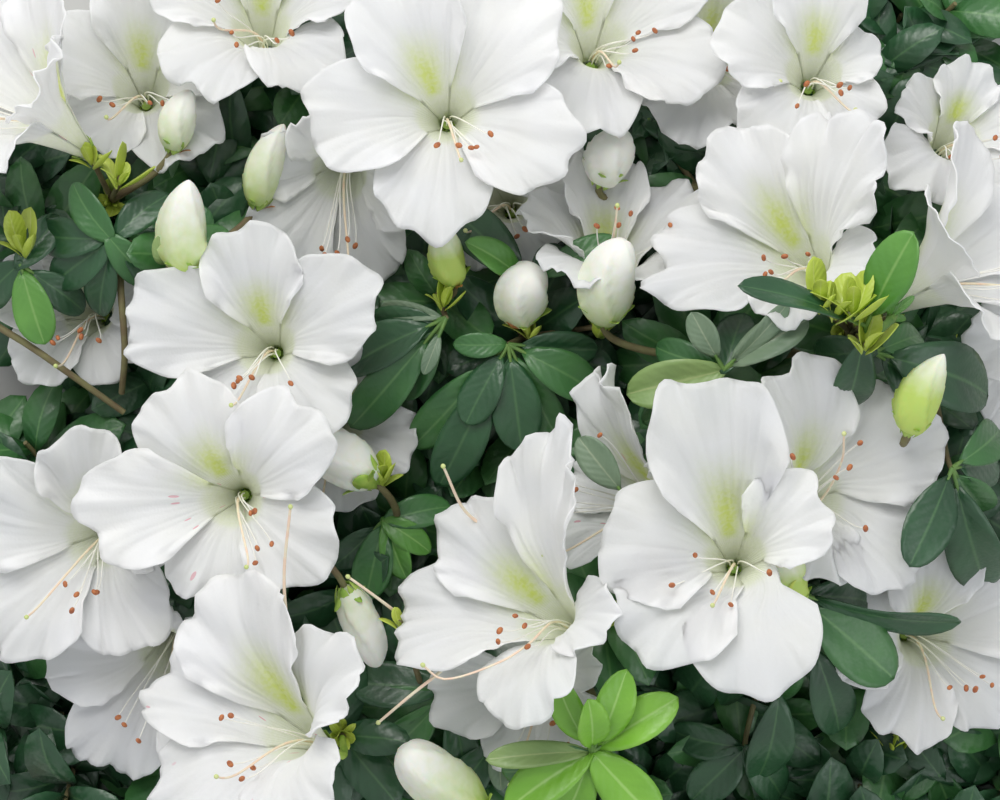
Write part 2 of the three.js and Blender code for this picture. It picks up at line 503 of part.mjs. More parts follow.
// Where leaf i of a shoot may grow on one of the twig's three sides, and the way it points
function leafPlace(shoot, frame, i, side, random, attempt) {
  const band = frame.bare + Math.floor(i / 2);
  const [lower, upper] = [frame.rings[band], frame.rings[band + 1]];
  const corners = [lower[side], lower[(side + 1) % 3], upper[(side + 1) % 3], upper[side]];
  const base = corners.reduce((sum, corner) => sum.add(corner), new THREE.Vector3()).divideScalar(4);
  const middle = frame.stations[band].clone().lerp(frame.stations[band + 1], 0.5);
  const outwards = base.clone().sub(middle).normalize();
  const lean = radians(THREE.MathUtils.lerp(LEAN.lowest, LEAN.highest, i / shoot.leaves)
    + (random() - 0.5) * LEAN.spread + LEAN.more * Math.floor(attempt / 3));
  const direction = frame.axis.clone().multiplyScalar(Math.cos(lean))
    .addScaledVector(outwards, Math.sin(lean));
  const length = shoot.length * (0.82 + 0.3 * random()) * (attempt > 5 ? 0.8 : 1);
  return { band, side, corners, base, direction, length };
}

// The leaves of one shoot. One that would touch something grows on another side, and else is left out.
// blocked is what the leaves keep clear of, and own is the bare twig and the leaves that are there
// already.
function whorl(shoot, frame, random, blocked, own) {
  const leaves = [];
  for (let i = 0; i < shoot.leaves; i++) {
    for (let attempt = 0; attempt < ATTEMPTS; attempt++) {
      const side = (i + attempt) % 3;
      const place = leafPlace(shoot, frame, i, side, random, attempt);
      const { band, corners, base, direction, length } = place;
      if (leaves.some((leaf) => leaf.band === band && leaf.side === side)) continue;
      const room = bladeSolid(base, direction, frame.axis, length * 1.04, LEAF_ROOM / 2, 0);
      const outer = bladeSolid(base, direction, frame.axis, length, LEAF_ROOM / 6, OUTER_PART);
      const whole = leafSolid(corners, base, direction, frame.axis, length);
      if (room.boundingBox().min[2] < FLOOR_CLEARANCE) continue;
      if (blocked.some((other) => touches(room, other) || touches(whole, other))) continue;
      if (own.outer.some((other) => touches(outer, other))) continue;
      if (own.whole.some((other) => touches(whole, other))) continue;
      own.outer.push(outer);
      own.whole.push(whole);
      leaves.push(place);
      break;
    }
  }
  return leaves;
}

// A three-sided twig, with each leaf in the place of a piece of one side
function shootSolid(shoot, frame, leaves) {
  const rings = [[frame.stations[0]], ...frame.rings, [frame.stations.at(-1)]];
  const geometry = geometryFromRings(rings);
  const points = rings.flat();
  const faces = Array.from(geometry.index.array);
  const facesPerBand = 6;
  const gone = new Set();
  for (const leaf of leaves) {
    const at = (ring, side) => 1 + 3 * ring + (side % 3);
    const firstFace = 3 + facesPerBand * leaf.band + 2 * leaf.side;
    gone.add(firstFace).add(firstFace + 1);
    const root = [
      at(leaf.band, leaf.side), at(leaf.band, leaf.side + 1),
      at(leaf.band + 1, leaf.side + 1), at(leaf.band + 1, leaf.side),
    ];
    const numbers = [...root, ...[0, 1, 2, 3, 4].map((k) => points.length + k)];
    points.push(...bladeCorners(leaf.base, leaf.direction, frame.axis, leaf.length));
    faces.push(...LEAF_FACES.flat().map((n) => numbers[n]));
  }
  const kept = faces.filter((_, n) => !gone.has(Math.floor(n / 3)));
  return solidOf(new THREE.BufferGeometry().setFromPoints(points).setIndex(kept));
}

function massStem(mass) {
  const { start, fork } = stemOf(mass);
  return limbSolid([start, fork], [STEM_RADIUS, TWIG_ROOT_RADIUS], 5);
}

// The scaly knob that flower stalks leave, or a bud, at the tip of a shoot
function shootEnds(shoot) {
  const tip = vector(shoot.tip);
  const ends = [];
  const knob = () => new THREE.IcosahedronGeometry(KNOB_RADIUS, 0).translate(...shoot.tip);
  if (shoot.truss) ends.push(solidOf(knob()));
  if (shoot.bud) ends.push(solidOf(budGeometry(tip, vector(shoot.axis).normalize(), ...shoot.bud)));
  return ends;
}

function bareMass(mass) {
  const twigs = mass.shoots.map((shoot) => shootSolid(shoot, shootFrame(mass, shoot), []));
  return wasm.Manifold.union([massStem(mass), ...twigs, ...mass.shoots.flatMap(shootEnds)]);
}

function leafyMass(mass, blocked) {
  const random = seeded(mass.seed);
  const frames = mass.shoots.map((shoot) => shootFrame(mass, shoot));
  const ends = mass.shoots.flatMap(shootEnds);
  const bare = mass.shoots.map((shoot, i) => shootSolid(shoot, frames[i], []));
  const own = { outer: [], whole: [...bare] };
  const shoots = mass.shoots.map((shoot, i) => {
    const others = bare.filter((_, j) => j !== i);
    const leaves = whorl(shoot, frames[i], random, [...blocked, ...others, ...ends], own);
    return shootSolid(shoot, frames[i], leaves);
  });
  return largestBody(wasm.Manifold.union([massStem(mass), ...shoots, ...ends]));
}

// Each limb starts inside its parent and is cut clear of it
function limbSolids() {
  const made = new Map();
  const grown = new Map();
  for (const limb of LIMBS) {
    const stations = stationsAlong(limb.path.map(vector), 2 * (limb.path.length - 1));
    const sides = limb.from ? 6 : 8;
    const wide = limb.radii.map((radius) => radius + 2 * GAP);
    let solid = limbSolid(stations, limb.radii, sides);
    if (limb.from) solid = largestBody(solid.subtract(grown.get(limb.from)));
    made.set(limb.name, solid);
    grown.set(limb.name, limbSolid(stations, wide, sides));
  }
  return made;
}

function trussTips() {
  const tips = new Map();
  for (const mass of MASSES) {
    for (const shoot of mass.shoots) if (shoot.truss) tips.set(shoot.truss, vector(shoot.tip));
  }
  return tips;
}

function build() {
  const branch = new THREE.Group();
  const put = (name, solid, finish) => {
    const mesh = new THREE.Mesh(geometryOf(solid), new THREE.MeshStandardMaterial(FINISHES[finish]));
    mesh.name = name;
    branch.add(mesh);
  };
  const limbs = limbSolids();
  const tips = trussTips();
  const blooms = BLOOMS.map((bloom) => bloomSolid(bloom, tips.get(bloom.truss)));
  const bare = MASSES.map(bareMass);
  const masses = [];
  MASSES.forEach((mass, i) => {
    masses.push(leafyMass(mass, [...blooms, ...limbs.values(), ...masses, ...bare.slice(i + 1)]));
  });
  limbs.forEach((solid, name) => put(name, solid, "bark"));
  BLOOMS.forEach((bloom, i) => put(bloom.name, blooms[i], "petal"));
  MASSES.forEach((mass, i) => put(mass.name, masses[i], "leaf"));
  const box = new THREE.Box3().setFromObject(branch);
  const middle = box.getCenter(new THREE.Vector3());
  branch.position.set(-middle.x, -middle.y, -box.min.z);
  return branch;
}

export default build();
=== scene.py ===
"""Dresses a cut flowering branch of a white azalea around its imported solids.

Sizes and places are in millimetres, in the layout that the part's source uses. They become metres in the
frame when a mesh is made.
"""

import json
import logging
import random
from dataclasses import dataclass, field, replace
from enum import Enum
from math import cos, pi, radians, sin
from typing import Iterable, Mapping, Sequence

import bpy
import numpy as np
from bpy.types import Collection, Material, Mesh, Node, NodeTree, Object
from bpy.types import NodeSocket as Socket
from mathutils import Matrix, Vector

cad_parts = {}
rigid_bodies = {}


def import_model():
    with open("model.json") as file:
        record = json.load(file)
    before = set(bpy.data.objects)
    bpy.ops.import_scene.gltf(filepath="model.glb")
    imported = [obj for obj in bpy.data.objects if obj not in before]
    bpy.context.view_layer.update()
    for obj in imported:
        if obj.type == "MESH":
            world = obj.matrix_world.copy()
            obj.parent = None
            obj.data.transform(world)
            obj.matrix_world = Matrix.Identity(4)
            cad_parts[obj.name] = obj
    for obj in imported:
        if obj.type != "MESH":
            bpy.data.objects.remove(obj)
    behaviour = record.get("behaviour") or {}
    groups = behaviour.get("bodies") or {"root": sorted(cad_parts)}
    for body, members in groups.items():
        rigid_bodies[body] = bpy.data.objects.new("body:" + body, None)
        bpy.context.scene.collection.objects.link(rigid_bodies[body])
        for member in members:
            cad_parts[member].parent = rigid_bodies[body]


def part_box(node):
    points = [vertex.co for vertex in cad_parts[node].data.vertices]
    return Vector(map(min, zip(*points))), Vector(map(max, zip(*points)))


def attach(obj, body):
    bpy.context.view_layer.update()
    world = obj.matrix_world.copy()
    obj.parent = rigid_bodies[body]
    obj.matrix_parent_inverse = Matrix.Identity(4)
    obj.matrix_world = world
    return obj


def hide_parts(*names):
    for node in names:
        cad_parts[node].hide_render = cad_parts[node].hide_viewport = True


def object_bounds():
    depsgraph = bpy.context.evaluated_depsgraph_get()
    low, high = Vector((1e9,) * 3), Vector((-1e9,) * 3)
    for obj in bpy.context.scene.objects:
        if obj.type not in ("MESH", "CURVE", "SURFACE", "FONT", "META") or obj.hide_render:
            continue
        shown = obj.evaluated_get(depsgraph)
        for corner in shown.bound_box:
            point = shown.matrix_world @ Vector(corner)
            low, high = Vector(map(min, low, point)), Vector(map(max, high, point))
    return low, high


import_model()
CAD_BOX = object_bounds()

LOG = logging.getLogger("azalea_branch")

Array = np.ndarray
Span = tuple[float, float]
Triple = tuple[float, float, float]
Axes = tuple[Array, Array, Array]
Colour = tuple[float, float, float]
Inputs = Mapping[str, object]

MM = 0.001
LAYOUT_ORIGIN = np.array((-8.47232, 3.06549, -0.02891))  # in the frame, in millimetres
GOLDEN_ANGLE = radians(137.5)
FLOOR_CLEARANCE = 7.0  # what the middle of a leaf keeps, as its tip may droop that far
CURVE_STEPS = 40  # how finely a curve is worked out between two given points
BOX_MARGIN = 3.0  # how far a leaf's middle line may stand past the part's box

# The corolla, as in the part's source
TUBE_LENGTH = 17.0
TUBE_BASE_RADIUS = 2.0
THROAT_RADIUS = 7.5
LOBE_LENGTH = 36.0
FLARE_START = radians(24)
STALK_STRAIGHT = 7.0
KNOB_RADIUS = 2.6


def unit(vector: Sequence[float]) -> Array:
    """Returns the vector with a length of one."""
    array = np.asarray(vector, float)
    return array / np.linalg.norm(array)


def to_frame(points: Array) -> Array:
    """Returns layout points, in millimetres, as points of the frame, in metres."""
    return (np.asarray(points, float) + LAYOUT_ORIGIN) * MM


def smooth_step(value: Array | float) -> Array | float:
    """Returns a value from 0 to 1 with eased ends."""
    held = np.clip(value, 0.0, 1.0)
    return held * held * (3 - 2 * held)


def smooth_path(points: Sequence[Sequence[float]], steps: int) -> Array:
    """Finds evenly spaced points of the smooth curve through some points.

    Args:
        points: The points that the curve passes.
        steps: How many stretches the result has.

    Returns:
        An array of steps + 1 points.
    """
    given = [np.asarray(p, float) for p in points]
    ends = [2 * given[0] - given[1], *given, 2 * given[-1] - given[-2]]
    fine: list[Array] = []
    for before, start, end, after in zip(ends, ends[1:], ends[2:], ends[3:]):
        gaps = [float(np.sqrt(np.linalg.norm(b - a))) for a, b in ((before, start), (start, end), (end, after))]
        first = (start - before) / gaps[0] - (end - before) / (gaps[0] + gaps[1]) + (end - start) / gaps[1]
        last = (end - start) / gaps[1] - (after - start) / (gaps[1] + gaps[2]) + (after - end) / gaps[2]
        first, last = first * gaps[1], last * gaps[1]
        cubic = 2 * start - 2 * end + first + last
        square = -3 * start + 3 * end - 2 * first - last
        fine.extend(
            start + first * t + square * t**2 + cubic * t**3 for t in np.linspace(0, 1, CURVE_STEPS, endpoint=False)
        )
    fine.append(given[-1])
    return resampled(np.array(fine), steps)


def lengths_along(line: Array) -> Array:
    """Returns how far along a line each of its points lies."""
    return np.concatenate([[0], np.cumsum(np.linalg.norm(np.diff(line, axis=0), axis=1))])


def points_at(line: Array, lengths: Array, wanted: Array | float) -> Array:
    """Returns the points of a line that lie some distances along it."""
    return np.stack([np.interp(wanted, lengths, line[:, axis]) for axis in range(3)], axis=-1)


def resampled(line: Array, steps: int) -> Array:
    """Returns a polyline again, in even steps."""
    lengths = lengths_along(line)
    return points_at(line, lengths, np.linspace(0, lengths[-1], steps + 1))


def ring(columns: int) -> Array:
    """Returns a row of even angles round a circle, in radians."""
    return np.linspace(0, 2 * pi, columns, endpoint=False)[None, :]


def layout_box(corners: Iterable[Sequence[float]]) -> tuple[Array, Array]:
    """Returns a box of the frame as a box of the layout."""
    low, high = (np.array(corner) / MM - LAYOUT_ORIGIN for corner in corners)
    return low, high


def walled(made: Object, thickness: float) -> Object:
    """Gives a sheet a wall of that thickness, half of it on either side."""
    wall = made.modifiers.new("wall", "SOLIDIFY")
    wall.thickness, wall.offset = thickness, 0.0
    return made


def bent_line(points: Sequence[Sequence[float]], steps: int) -> Array:
    """Returns points of the cubic curve that four points pull on."""
    start, first, last, end = (np.asarray(p, float) for p in points)
    t = np.linspace(0, 1, steps + 1)[:, None]
    return (1 - t) ** 3 * start + 3 * t * (1 - t) ** 2 * first + 3 * t**2 * (1 - t) * last + t**3 * end


def turn_to(along: Array, up: Array) -> Triple:
    """Finds the turn that lays a shape's +Y along a direction with its +Z near another.

    Args:
        along: Where the shape's length points.
        up: Where its upper side faces.

    Returns:
        The turn as three angles in radians.
    """
    y = unit(along)
    x = unit(np.cross(y, up))
    euler = Matrix((x, y, np.cross(x, y))).transposed().to_euler()
    return euler.x, euler.y, euler.z


def turned(start: Array, end: Array, angle: float) -> Array:
    """Returns the direction at an angle from one direction towards another."""
    return cos(angle) * start + sin(angle) * end


def across(axis: Array) -> tuple[Array, Array]:
    """Returns two directions across an axis."""
    side = unit(np.cross(axis, (0.31, 0.95, 0.05)))
    return side, np.cross(axis, side)


def sheet(centre: Array, axes: Axes, x: Array, y: Array, z: Array) -> Array:
    """Returns a grid of points from their distances along three axes through a centre."""
    return centre + x[..., None] * axes[0] + y[..., None] * axes[1] + z[..., None] * axes[2]


def nearest_root(lines: Iterable[Array], foot: Array) -> Array:
    """Returns the point of some twigs that a finer twig to a place starts from: near it and rather below it."""
    roots = np.concatenate([line[4:] for line in lines])
    distance = np.linalg.norm(roots - foot, axis=1) + 1.5 * np.maximum(0, roots[:, 2] - foot[2] + 6)
    return roots[distance.argmin()]


def numbered(mesh: Mesh, name: str, values: Array, kind: str = "FLOAT") -> None:
    """Gives each point of a mesh a named number, or a vector."""
    typed = values.astype(np.int32 if kind == "INT" else np.float32)
    layer = mesh.attributes.new(name, kind, "POINT")
    layer.data.foreach_set("vector" if kind == "FLOAT_VECTOR" else "value", typed.reshape(-1))


def linked(name: str, mesh: Mesh) -> Object:
    """Puts a mesh into the scene as an object of that name."""
    made = bpy.data.objects.new(name, mesh)
    bpy.context.scene.collection.objects.link(made)
    return made


def placed(piece: Object, nodes: Sequence[str]) -> None:
    """Rides a piece on the branch and hides the nodes that it stands for."""
    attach(piece, "root")
    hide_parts(*nodes)
    LOG.info("%s: %d faces for %d nodes", piece.name, len(piece.data.polygons), len(nodes))


class Joined:
    """Many small shapes gathered into one mesh, with a UV map and named numbers at its points."""

    def __init__(self) -> None:
        """Starts with nothing in it."""
        self.points: list[Array] = []
        self.faces: list[list[int]] = []
        self.uvs: list[Array] = []
        self.numbers: dict[str, list[Array]] = {}
        self.count = 0

    def add_grid(
        self, grid: Array, uv: Array | None = None, wrapped: bool = False, numbers: dict[str, Array] | None = None
    ) -> None:
        """Adds a grid of four-cornered faces.

        Args:
            grid: Rows of columns of points.
            uv: The place of each point in the UV map.
            wrapped: Whether the last column meets the first. Its two end rows are closed then.
            numbers: Named numbers for each point.
        """
        rows, columns = grid.shape[:2]
        index = np.arange(rows * columns).reshape(rows, columns) + self.count
        near, after = (index, np.roll(index, -1, axis=1)) if wrapped else (index[:, :-1], index[:, 1:])
        quads = np.stack([near[:-1], after[:-1], after[1:], near[1:]], axis=-1).reshape(-1, 4)
        self.faces.extend(quads.tolist())
        if wrapped:
            self.faces.extend([index[0][::-1].tolist(), index[-1].tolist()])
        self.points.append(grid.reshape(-1, 3))
        self.uvs.append(np.zeros((rows * columns, 2)) if uv is None else uv.reshape(-1, 2))
        for name, values in (numbers or {}).items():
            self.numbers.setdefault(name, []).append(np.broadcast_to(values, (rows, columns)).reshape(-1))
        self.count += rows * columns

    def made(
        self, name: str, material: Material | None = None, local: bool = False, mapped: bool = True
    ) -> Object:
        """Makes the gathered shapes one object.

        Args:
            name: The object's name.
            material: Its finish.
            local: Whether its points are sizes of its own and not places of the layout.
            mapped: Whether it has a UV map.

        Returns:
            The object, at the frame's origin.
        """
        points = np.concatenate(self.points)
        mesh = bpy.data.meshes.new(name)
        mesh.from_pydata((points if local else to_frame(points)).tolist(), [], self.faces)
        if mapped:
            corner_points = np.empty(len(mesh.loops), np.int32)
            mesh.loops.foreach_get("vertex_index", corner_points)
            places = np.concatenate(self.uvs)[corner_points].astype(np.float32)
            mesh.uv_layers.new(name="UVMap").data.foreach_set("uv", places.reshape(-1))
        for number, values in self.numbers.items():
            numbered(mesh, number, np.concatenate(values))
        if material is not None:
            mesh.materials.append(material)
        mesh.shade_smooth()
        return linked(name, mesh)


class Tree:
    """Adds and links the nodes of one node tree."""

    def __init__(self, tree: NodeTree) -> None:
        """Keeps the tree."""
        self.tree = tree

    def feed(self, node: Node, inputs: Inputs) -> Node:
        """Sets or links a node's inputs, by name or number.

        Args:
            node: The node.
            inputs: Values, or other nodes' outputs.

        Returns:
            The node.
        """
        for name, value in inputs.items():
            socket = node.inputs[int(name) if name.isdigit() else name]
            if isinstance(value, Socket):
                self.tree.links.new(value, socket)
            else:
                socket.default_value = value
        return node

    def add(self, kind: str, inputs: Inputs | None = None, **settings: object) -> Node:
        """Adds one node.

        Args:
            kind: The node's type.
            inputs: Values or other nodes' outputs for its inputs.
            settings: Its own settings.

        Returns:
            The node.
        """
        node = self.tree.nodes.new(kind)
        for name, value in settings.items():
            setattr(node, name, value)
        return self.feed(node, inputs or {})

    def maths(self, first: object, second: object = 0.0, operation: str = "MULTIPLY") -> Socket:
        """Returns the product of two values, or what another operation makes of them."""
        return self.add("ShaderNodeMath", {"0": first, "1": second}, operation=operation).outputs[0]

    def vector(self, first: Socket, second: object, operation: str) -> Socket:
        """Returns what an operation makes of two vectors."""
        return self.add("ShaderNodeVectorMath", {"0": first, "1": second}, operation=operation).outputs[0]

    def named(self, name: str, kind: str = "FLOAT") -> Socket:
        """Returns a named attribute of the points or paths that something grows from."""
        return self.add("GeometryNodeInputNamedAttribute", {"Name": name}, data_type=kind).outputs[0]

    def number(self, name: str) -> Socket:
        """Returns a named number of a piece's surface."""
        return self.add("ShaderNodeAttribute", attribute_name=name).outputs["Fac"]

    def place(self) -> Socket:
        """Returns the place on a piece, in the frame."""
        return self.add("ShaderNodeTexCoord").outputs["Object"]

    def uv(self) -> Socket:
        """Returns the place in a piece's own UV map."""
        return self.add("ShaderNodeUVMap", uv_map="UVMap").outputs[0]

    def split(self, vector: Socket) -> Mapping[int, Socket]:
        """Returns a vector's three numbers."""
        return self.add("ShaderNodeSeparateXYZ", {"Vector": vector}).outputs

    def noise(self, vector: Socket, scale: float, detail: float = 2.0) -> Socket:
        """Returns a noise over a vector."""
        return self.add("ShaderNodeTexNoise", {"Vector": vector, "Scale": scale, "Detail": detail}).outputs[0]

    def bump(self, strength: float, distance: float, height: Socket) -> Socket:
        """Returns the normal that a height gives a surface."""
        return self.add("ShaderNodeBump", {"Strength": strength, "Distance": distance, "Height": height}).outputs[0]

    def ranged(self, value: Socket, low: float, high: float, to_low: float = 0.0, to_high: float = 1.0) -> Socket:
        """Maps a value from one range to another and holds it there."""
        inputs = {"Value": value, "From Min": low, "From Max": high, "To Min": to_low, "To Max": to_high}
        return self.add("ShaderNodeMapRange", inputs).outputs[0]

    def mixed(self, share: Socket, low: Colour | Socket, high: Colour | Socket) -> Socket:
        """Returns the mix of two colours, with that share of the second."""
        full = [(*c, 1.0) if isinstance(c, tuple) else c for c in (low, high)]
        return self.add("ShaderNodeMix", {"0": share, "6": full[0], "7": full[1]}, data_type="RGBA").outputs[2]


class Growth:
    """The Geometry Nodes trees that grow leaves and anthers on points, and stalks and limbs along paths."""

    SEED = 7
    RIDGE_SCALE = 420.0
    KNOT_SCALE = 95.0

    def __init__(self) -> None:
        """Builds each tree once."""
        self.on_points = self._on_points()
        self.along_paths = self._along_paths()
        self.bark = self._bark()

    @staticmethod
    def _begun(name: str, inputs: dict[str, str]) -> tuple[Tree, Mapping[str, Socket]]:
        """Starts a tree with a shape and some named inputs.

        Args:
            name: The tree's name.
            inputs: Each input's name and kind.

        Returns:
            The tree and what its inputs give.
        """
        group = bpy.data.node_groups.new(name, "GeometryNodeTree")
        for label, kind in {"Shape": "Geometry", **inputs}.items():
            group.interface.new_socket(name=label, in_out="INPUT", socket_type=f"NodeSocket{kind}")
        group.interface.new_socket(name="Shape", in_out="OUTPUT", socket_type="NodeSocketGeometry")
        tree = Tree(group)
        return tree, tree.add("NodeGroupInput").outputs

    @staticmethod
    def _ended(tree: Tree, shape: Socket, finish: Socket) -> NodeTree:
        """Ends a tree with real geometry in its finish.

        Args:
            tree: The tree.
            shape: What it made.
            finish: The material to set.

        Returns:
            The node group.
        """
        real = tree.add("GeometryNodeRealizeInstances", {"Geometry": shape})
        smooth = tree.add("GeometryNodeSetShadeSmooth", {"Geometry": real.outputs[0]})
        dressed = tree.add("GeometryNodeSetMaterial", {"Geometry": smooth.outputs[0], "Material": finish})
        tree.add("NodeGroupOutput", {"Shape": dressed.outputs[0]})
        return tree.tree

    def _on_points(self) -> NodeTree:
        """Builds the tree that puts one of a set of shapes on each point, turned and sized as the point says."""
        tree, given = self._begun(
            "grow_on_points", {"Kinds": "Collection", "Size Spread": "Float", "Seed": "Int", "Finish": "Material"}
        )
        kinds = tree.add(
            "GeometryNodeCollectionInfo",
            {"Collection": given["Kinds"], "Separate Children": True, "Reset Children": True},
        )
        least, most = (tree.maths(1.0, given["Size Spread"], operation) for operation in ("SUBTRACT", "ADD"))
        limits = {"2": least, "3": most, "Seed": given["Seed"]}
        spread = tree.add("FunctionNodeRandomValue", limits, data_type="FLOAT")
        turn = tree.add("FunctionNodeEulerToRotation", {"Euler": tree.named("turn", "FLOAT_VECTOR")})
        grown = tree.add(
            "GeometryNodeInstanceOnPoints",
            {
                "Points": given["Shape"],
                "Instance": kinds.outputs[0],
                "Pick Instance": True,
                "Instance Index": tree.named("kind", "INT"),
                "Rotation": turn.outputs[0],
                "Scale": tree.maths(tree.named("size"), spread.outputs[1]),
            },
        )
        return self._ended(tree, grown.outputs[0], given["Finish"])

    @staticmethod
    def _tubes(tree: Tree, given: Mapping[str, Socket]) -> Socket:
        """Adds the nodes that make a round tube along each path of edges, as thick as its points say."""
        curve = tree.add("GeometryNodeMeshToCurve", {"Mesh": given["Shape"]}).outputs[0]
        circle = tree.add("GeometryNodeCurvePrimitiveCircle", {"Resolution": given["Sides"], "Radius": 1.0})
        inputs = {"Curve": curve, "Profile Curve": circle.outputs[0], "Scale": tree.named("thick"), "Fill Caps": True}
        return tree.add("GeometryNodeCurveToMesh", inputs).outputs[0]

    def _along_paths(self) -> NodeTree:
        """Builds the tree for stalks, stamens and twigs."""
        tree, given = self._begun("grow_along_paths", {"Sides": "Int", "Finish": "Material"})
        return self._ended(tree, self._tubes(tree, given), given["Finish"])

    def _bark(self) -> NodeTree:
        """Builds the tree for woody limbs, whose bark stands out in ridges and knots."""
        tree, given = self._begun("grow_bark", {"Sides": "Int", "Relief": "Float", "Finish": "Material"})
        tube = self._tubes(tree, given)
        place = tree.add("GeometryNodeInputPosition").outputs[0]
        normal = tree.add("GeometryNodeInputNormal").outputs[0]
        both = tree.maths(tree.noise(place, self.RIDGE_SCALE, 3.0), tree.noise(place, self.KNOT_SCALE, 1.0), "ADD")
        height = tree.maths(tree.maths(both, 1.0, "SUBTRACT"), given["Relief"])
        offset = tree.add("ShaderNodeVectorMath", {"0": normal, "Scale": height}, operation="SCALE").outputs[0]
        raised = tree.add("GeometryNodeSetPosition", {"Geometry": tube, "Offset": offset}).outputs[0]
        return self._ended(tree, raised, given["Finish"])

    @staticmethod
    def run(grown: Object, group: NodeTree, values: dict[str, object]) -> Object:
        """Runs an object through a tree and keeps the result as its plain mesh.

        Args:
            grown: The object that holds the points or paths.
            group: The tree.
            values: The tree's inputs by name.

        Returns:
            The same object, with no modifier left on it.
        """
        modifier = grown.modifiers.new(group.name, "NODES")
        modifier.node_group = group
        for item in group.interface.items_tree:
            if item.in_out == "INPUT" and item.name in values:
                modifier[item.identifier] = values[item.name]
        graph = bpy.context.evaluated_depsgraph_get()
        evaluated = grown.evaluated_get(graph)
        mesh = bpy.data.meshes.new_from_object(evaluated, preserve_all_data_layers=True, depsgraph=graph)
        grown.modifiers.remove(modifier)
        mesh.name = grown.name
        grown.data = mesh
        return grown


class Paths:
    """Polylines with a thickness at each point, which become one mesh of tubes."""

    def __init__(self) -> None:
        """Starts with no path."""
        self.lines: list[Array] = []
        self.radii: list[Array] = []

    def add(self, line: Array, start: float, end: float) -> None:
        """Adds a path whose radius, in millimetres, goes from start to end."""
        self.lines.append(line)
        self.radii.append(np.linspace(start, end, len(line)))

    def grown(
        self, name: str, growth: Growth, sides: int, material: Material, relief: float | None = None
    ) -> Object:
        """Makes the paths one mesh of tubes.

        Args:
            name: The object's name.
            growth: The trees.
            sides: How many sides a tube has.
            material: The finish.
            relief: The height of the bark's ridges in millimetres, for woody limbs.

        Returns:
            The object.
        """
        counts = [len(line) for line in self.lines]
        starts = np.cumsum([0, *counts[:-1]])
        edges = [(int(s) + i, int(s) + i + 1) for s, n in zip(starts, counts) for i in range(n - 1)]
        mesh = bpy.data.meshes.new(name)
        mesh.from_pydata(to_frame(np.concatenate(self.lines)).tolist(), edges, [])
        numbered(mesh, "thick", np.concatenate(self.radii) * MM)
        values: dict[str, object] = {"Sides": sides, "Finish": material}
        if relief is None:
            return growth.run(linked(name, mesh), growth.along_paths, values)
        return growth.run(linked(name, mesh), growth.bark, {**values, "Relief": relief * MM})


class Sprouts:
    """Points that each carry one of a few small shapes, such as a leaf."""

    def __init__(self) -> None:
        """Starts with no point."""
        self.places: list[Array] = []
        self.turns: list[Triple] = []
        self.sizes: list[float] = []
        self.kinds: list[int] = []

    def add(self, place: Array, along: Array, up: Array, size: float, kind: int = 0) -> None:
        """Adds a shape of that length in millimetres at a place, laid along a direction."""
        self.places.append(np.asarray(place, float))
        self.turns.append(turn_to(along, up))
        self.sizes.append(size * MM)
        self.kinds.append(kind)

    def grown(
        self, name: str, growth: Growth, kinds: Collection, material: Material,
        spread: float = 0.0,
    ) -> Object:
        """Makes the sprouts one mesh.

        Args:
            name: The object's name.
            growth: The trees.
            kinds: The shapes to choose from.
            material: The finish.
            spread: The share by which sizes vary.

        Returns:
            The object.
        """
        mesh = bpy.data.meshes.new(name)
        mesh.from_pydata(to_frame(np.array(self.places)).tolist(), [], [])
        numbered(mesh, "turn", np.array(self.turns), "FLOAT_VECTOR")
        numbered(mesh, "size", np.array(self.sizes))
        numbered(mesh, "kind", np.array(self.kinds), "INT")
        values = {"Kinds": kinds, "Size Spread": spread, "Seed": Growth.SEED, "Finish": material}
        return growth.run(linked(name, mesh), growth.on_points, values)


# Finishes


class Finish:
    """A procedural material on the principled shader."""

    name: str

    def material(self) -> Material:
        """Returns the material, made once."""
        made = bpy.data.materials.get(self.name)
        if made is None:
            made = bpy.data.materials.new(self.name)
            made.use_nodes = True
            tree = Tree(made.node_tree)
            tree.feed(made.node_tree.nodes["Principled BSDF"], self.paint(tree))
        return made

    def paint(self, tree: Tree) -> Inputs:
        """Adds this finish's nodes and returns what the shader's inputs get, by name."""
        raise NotImplementedError


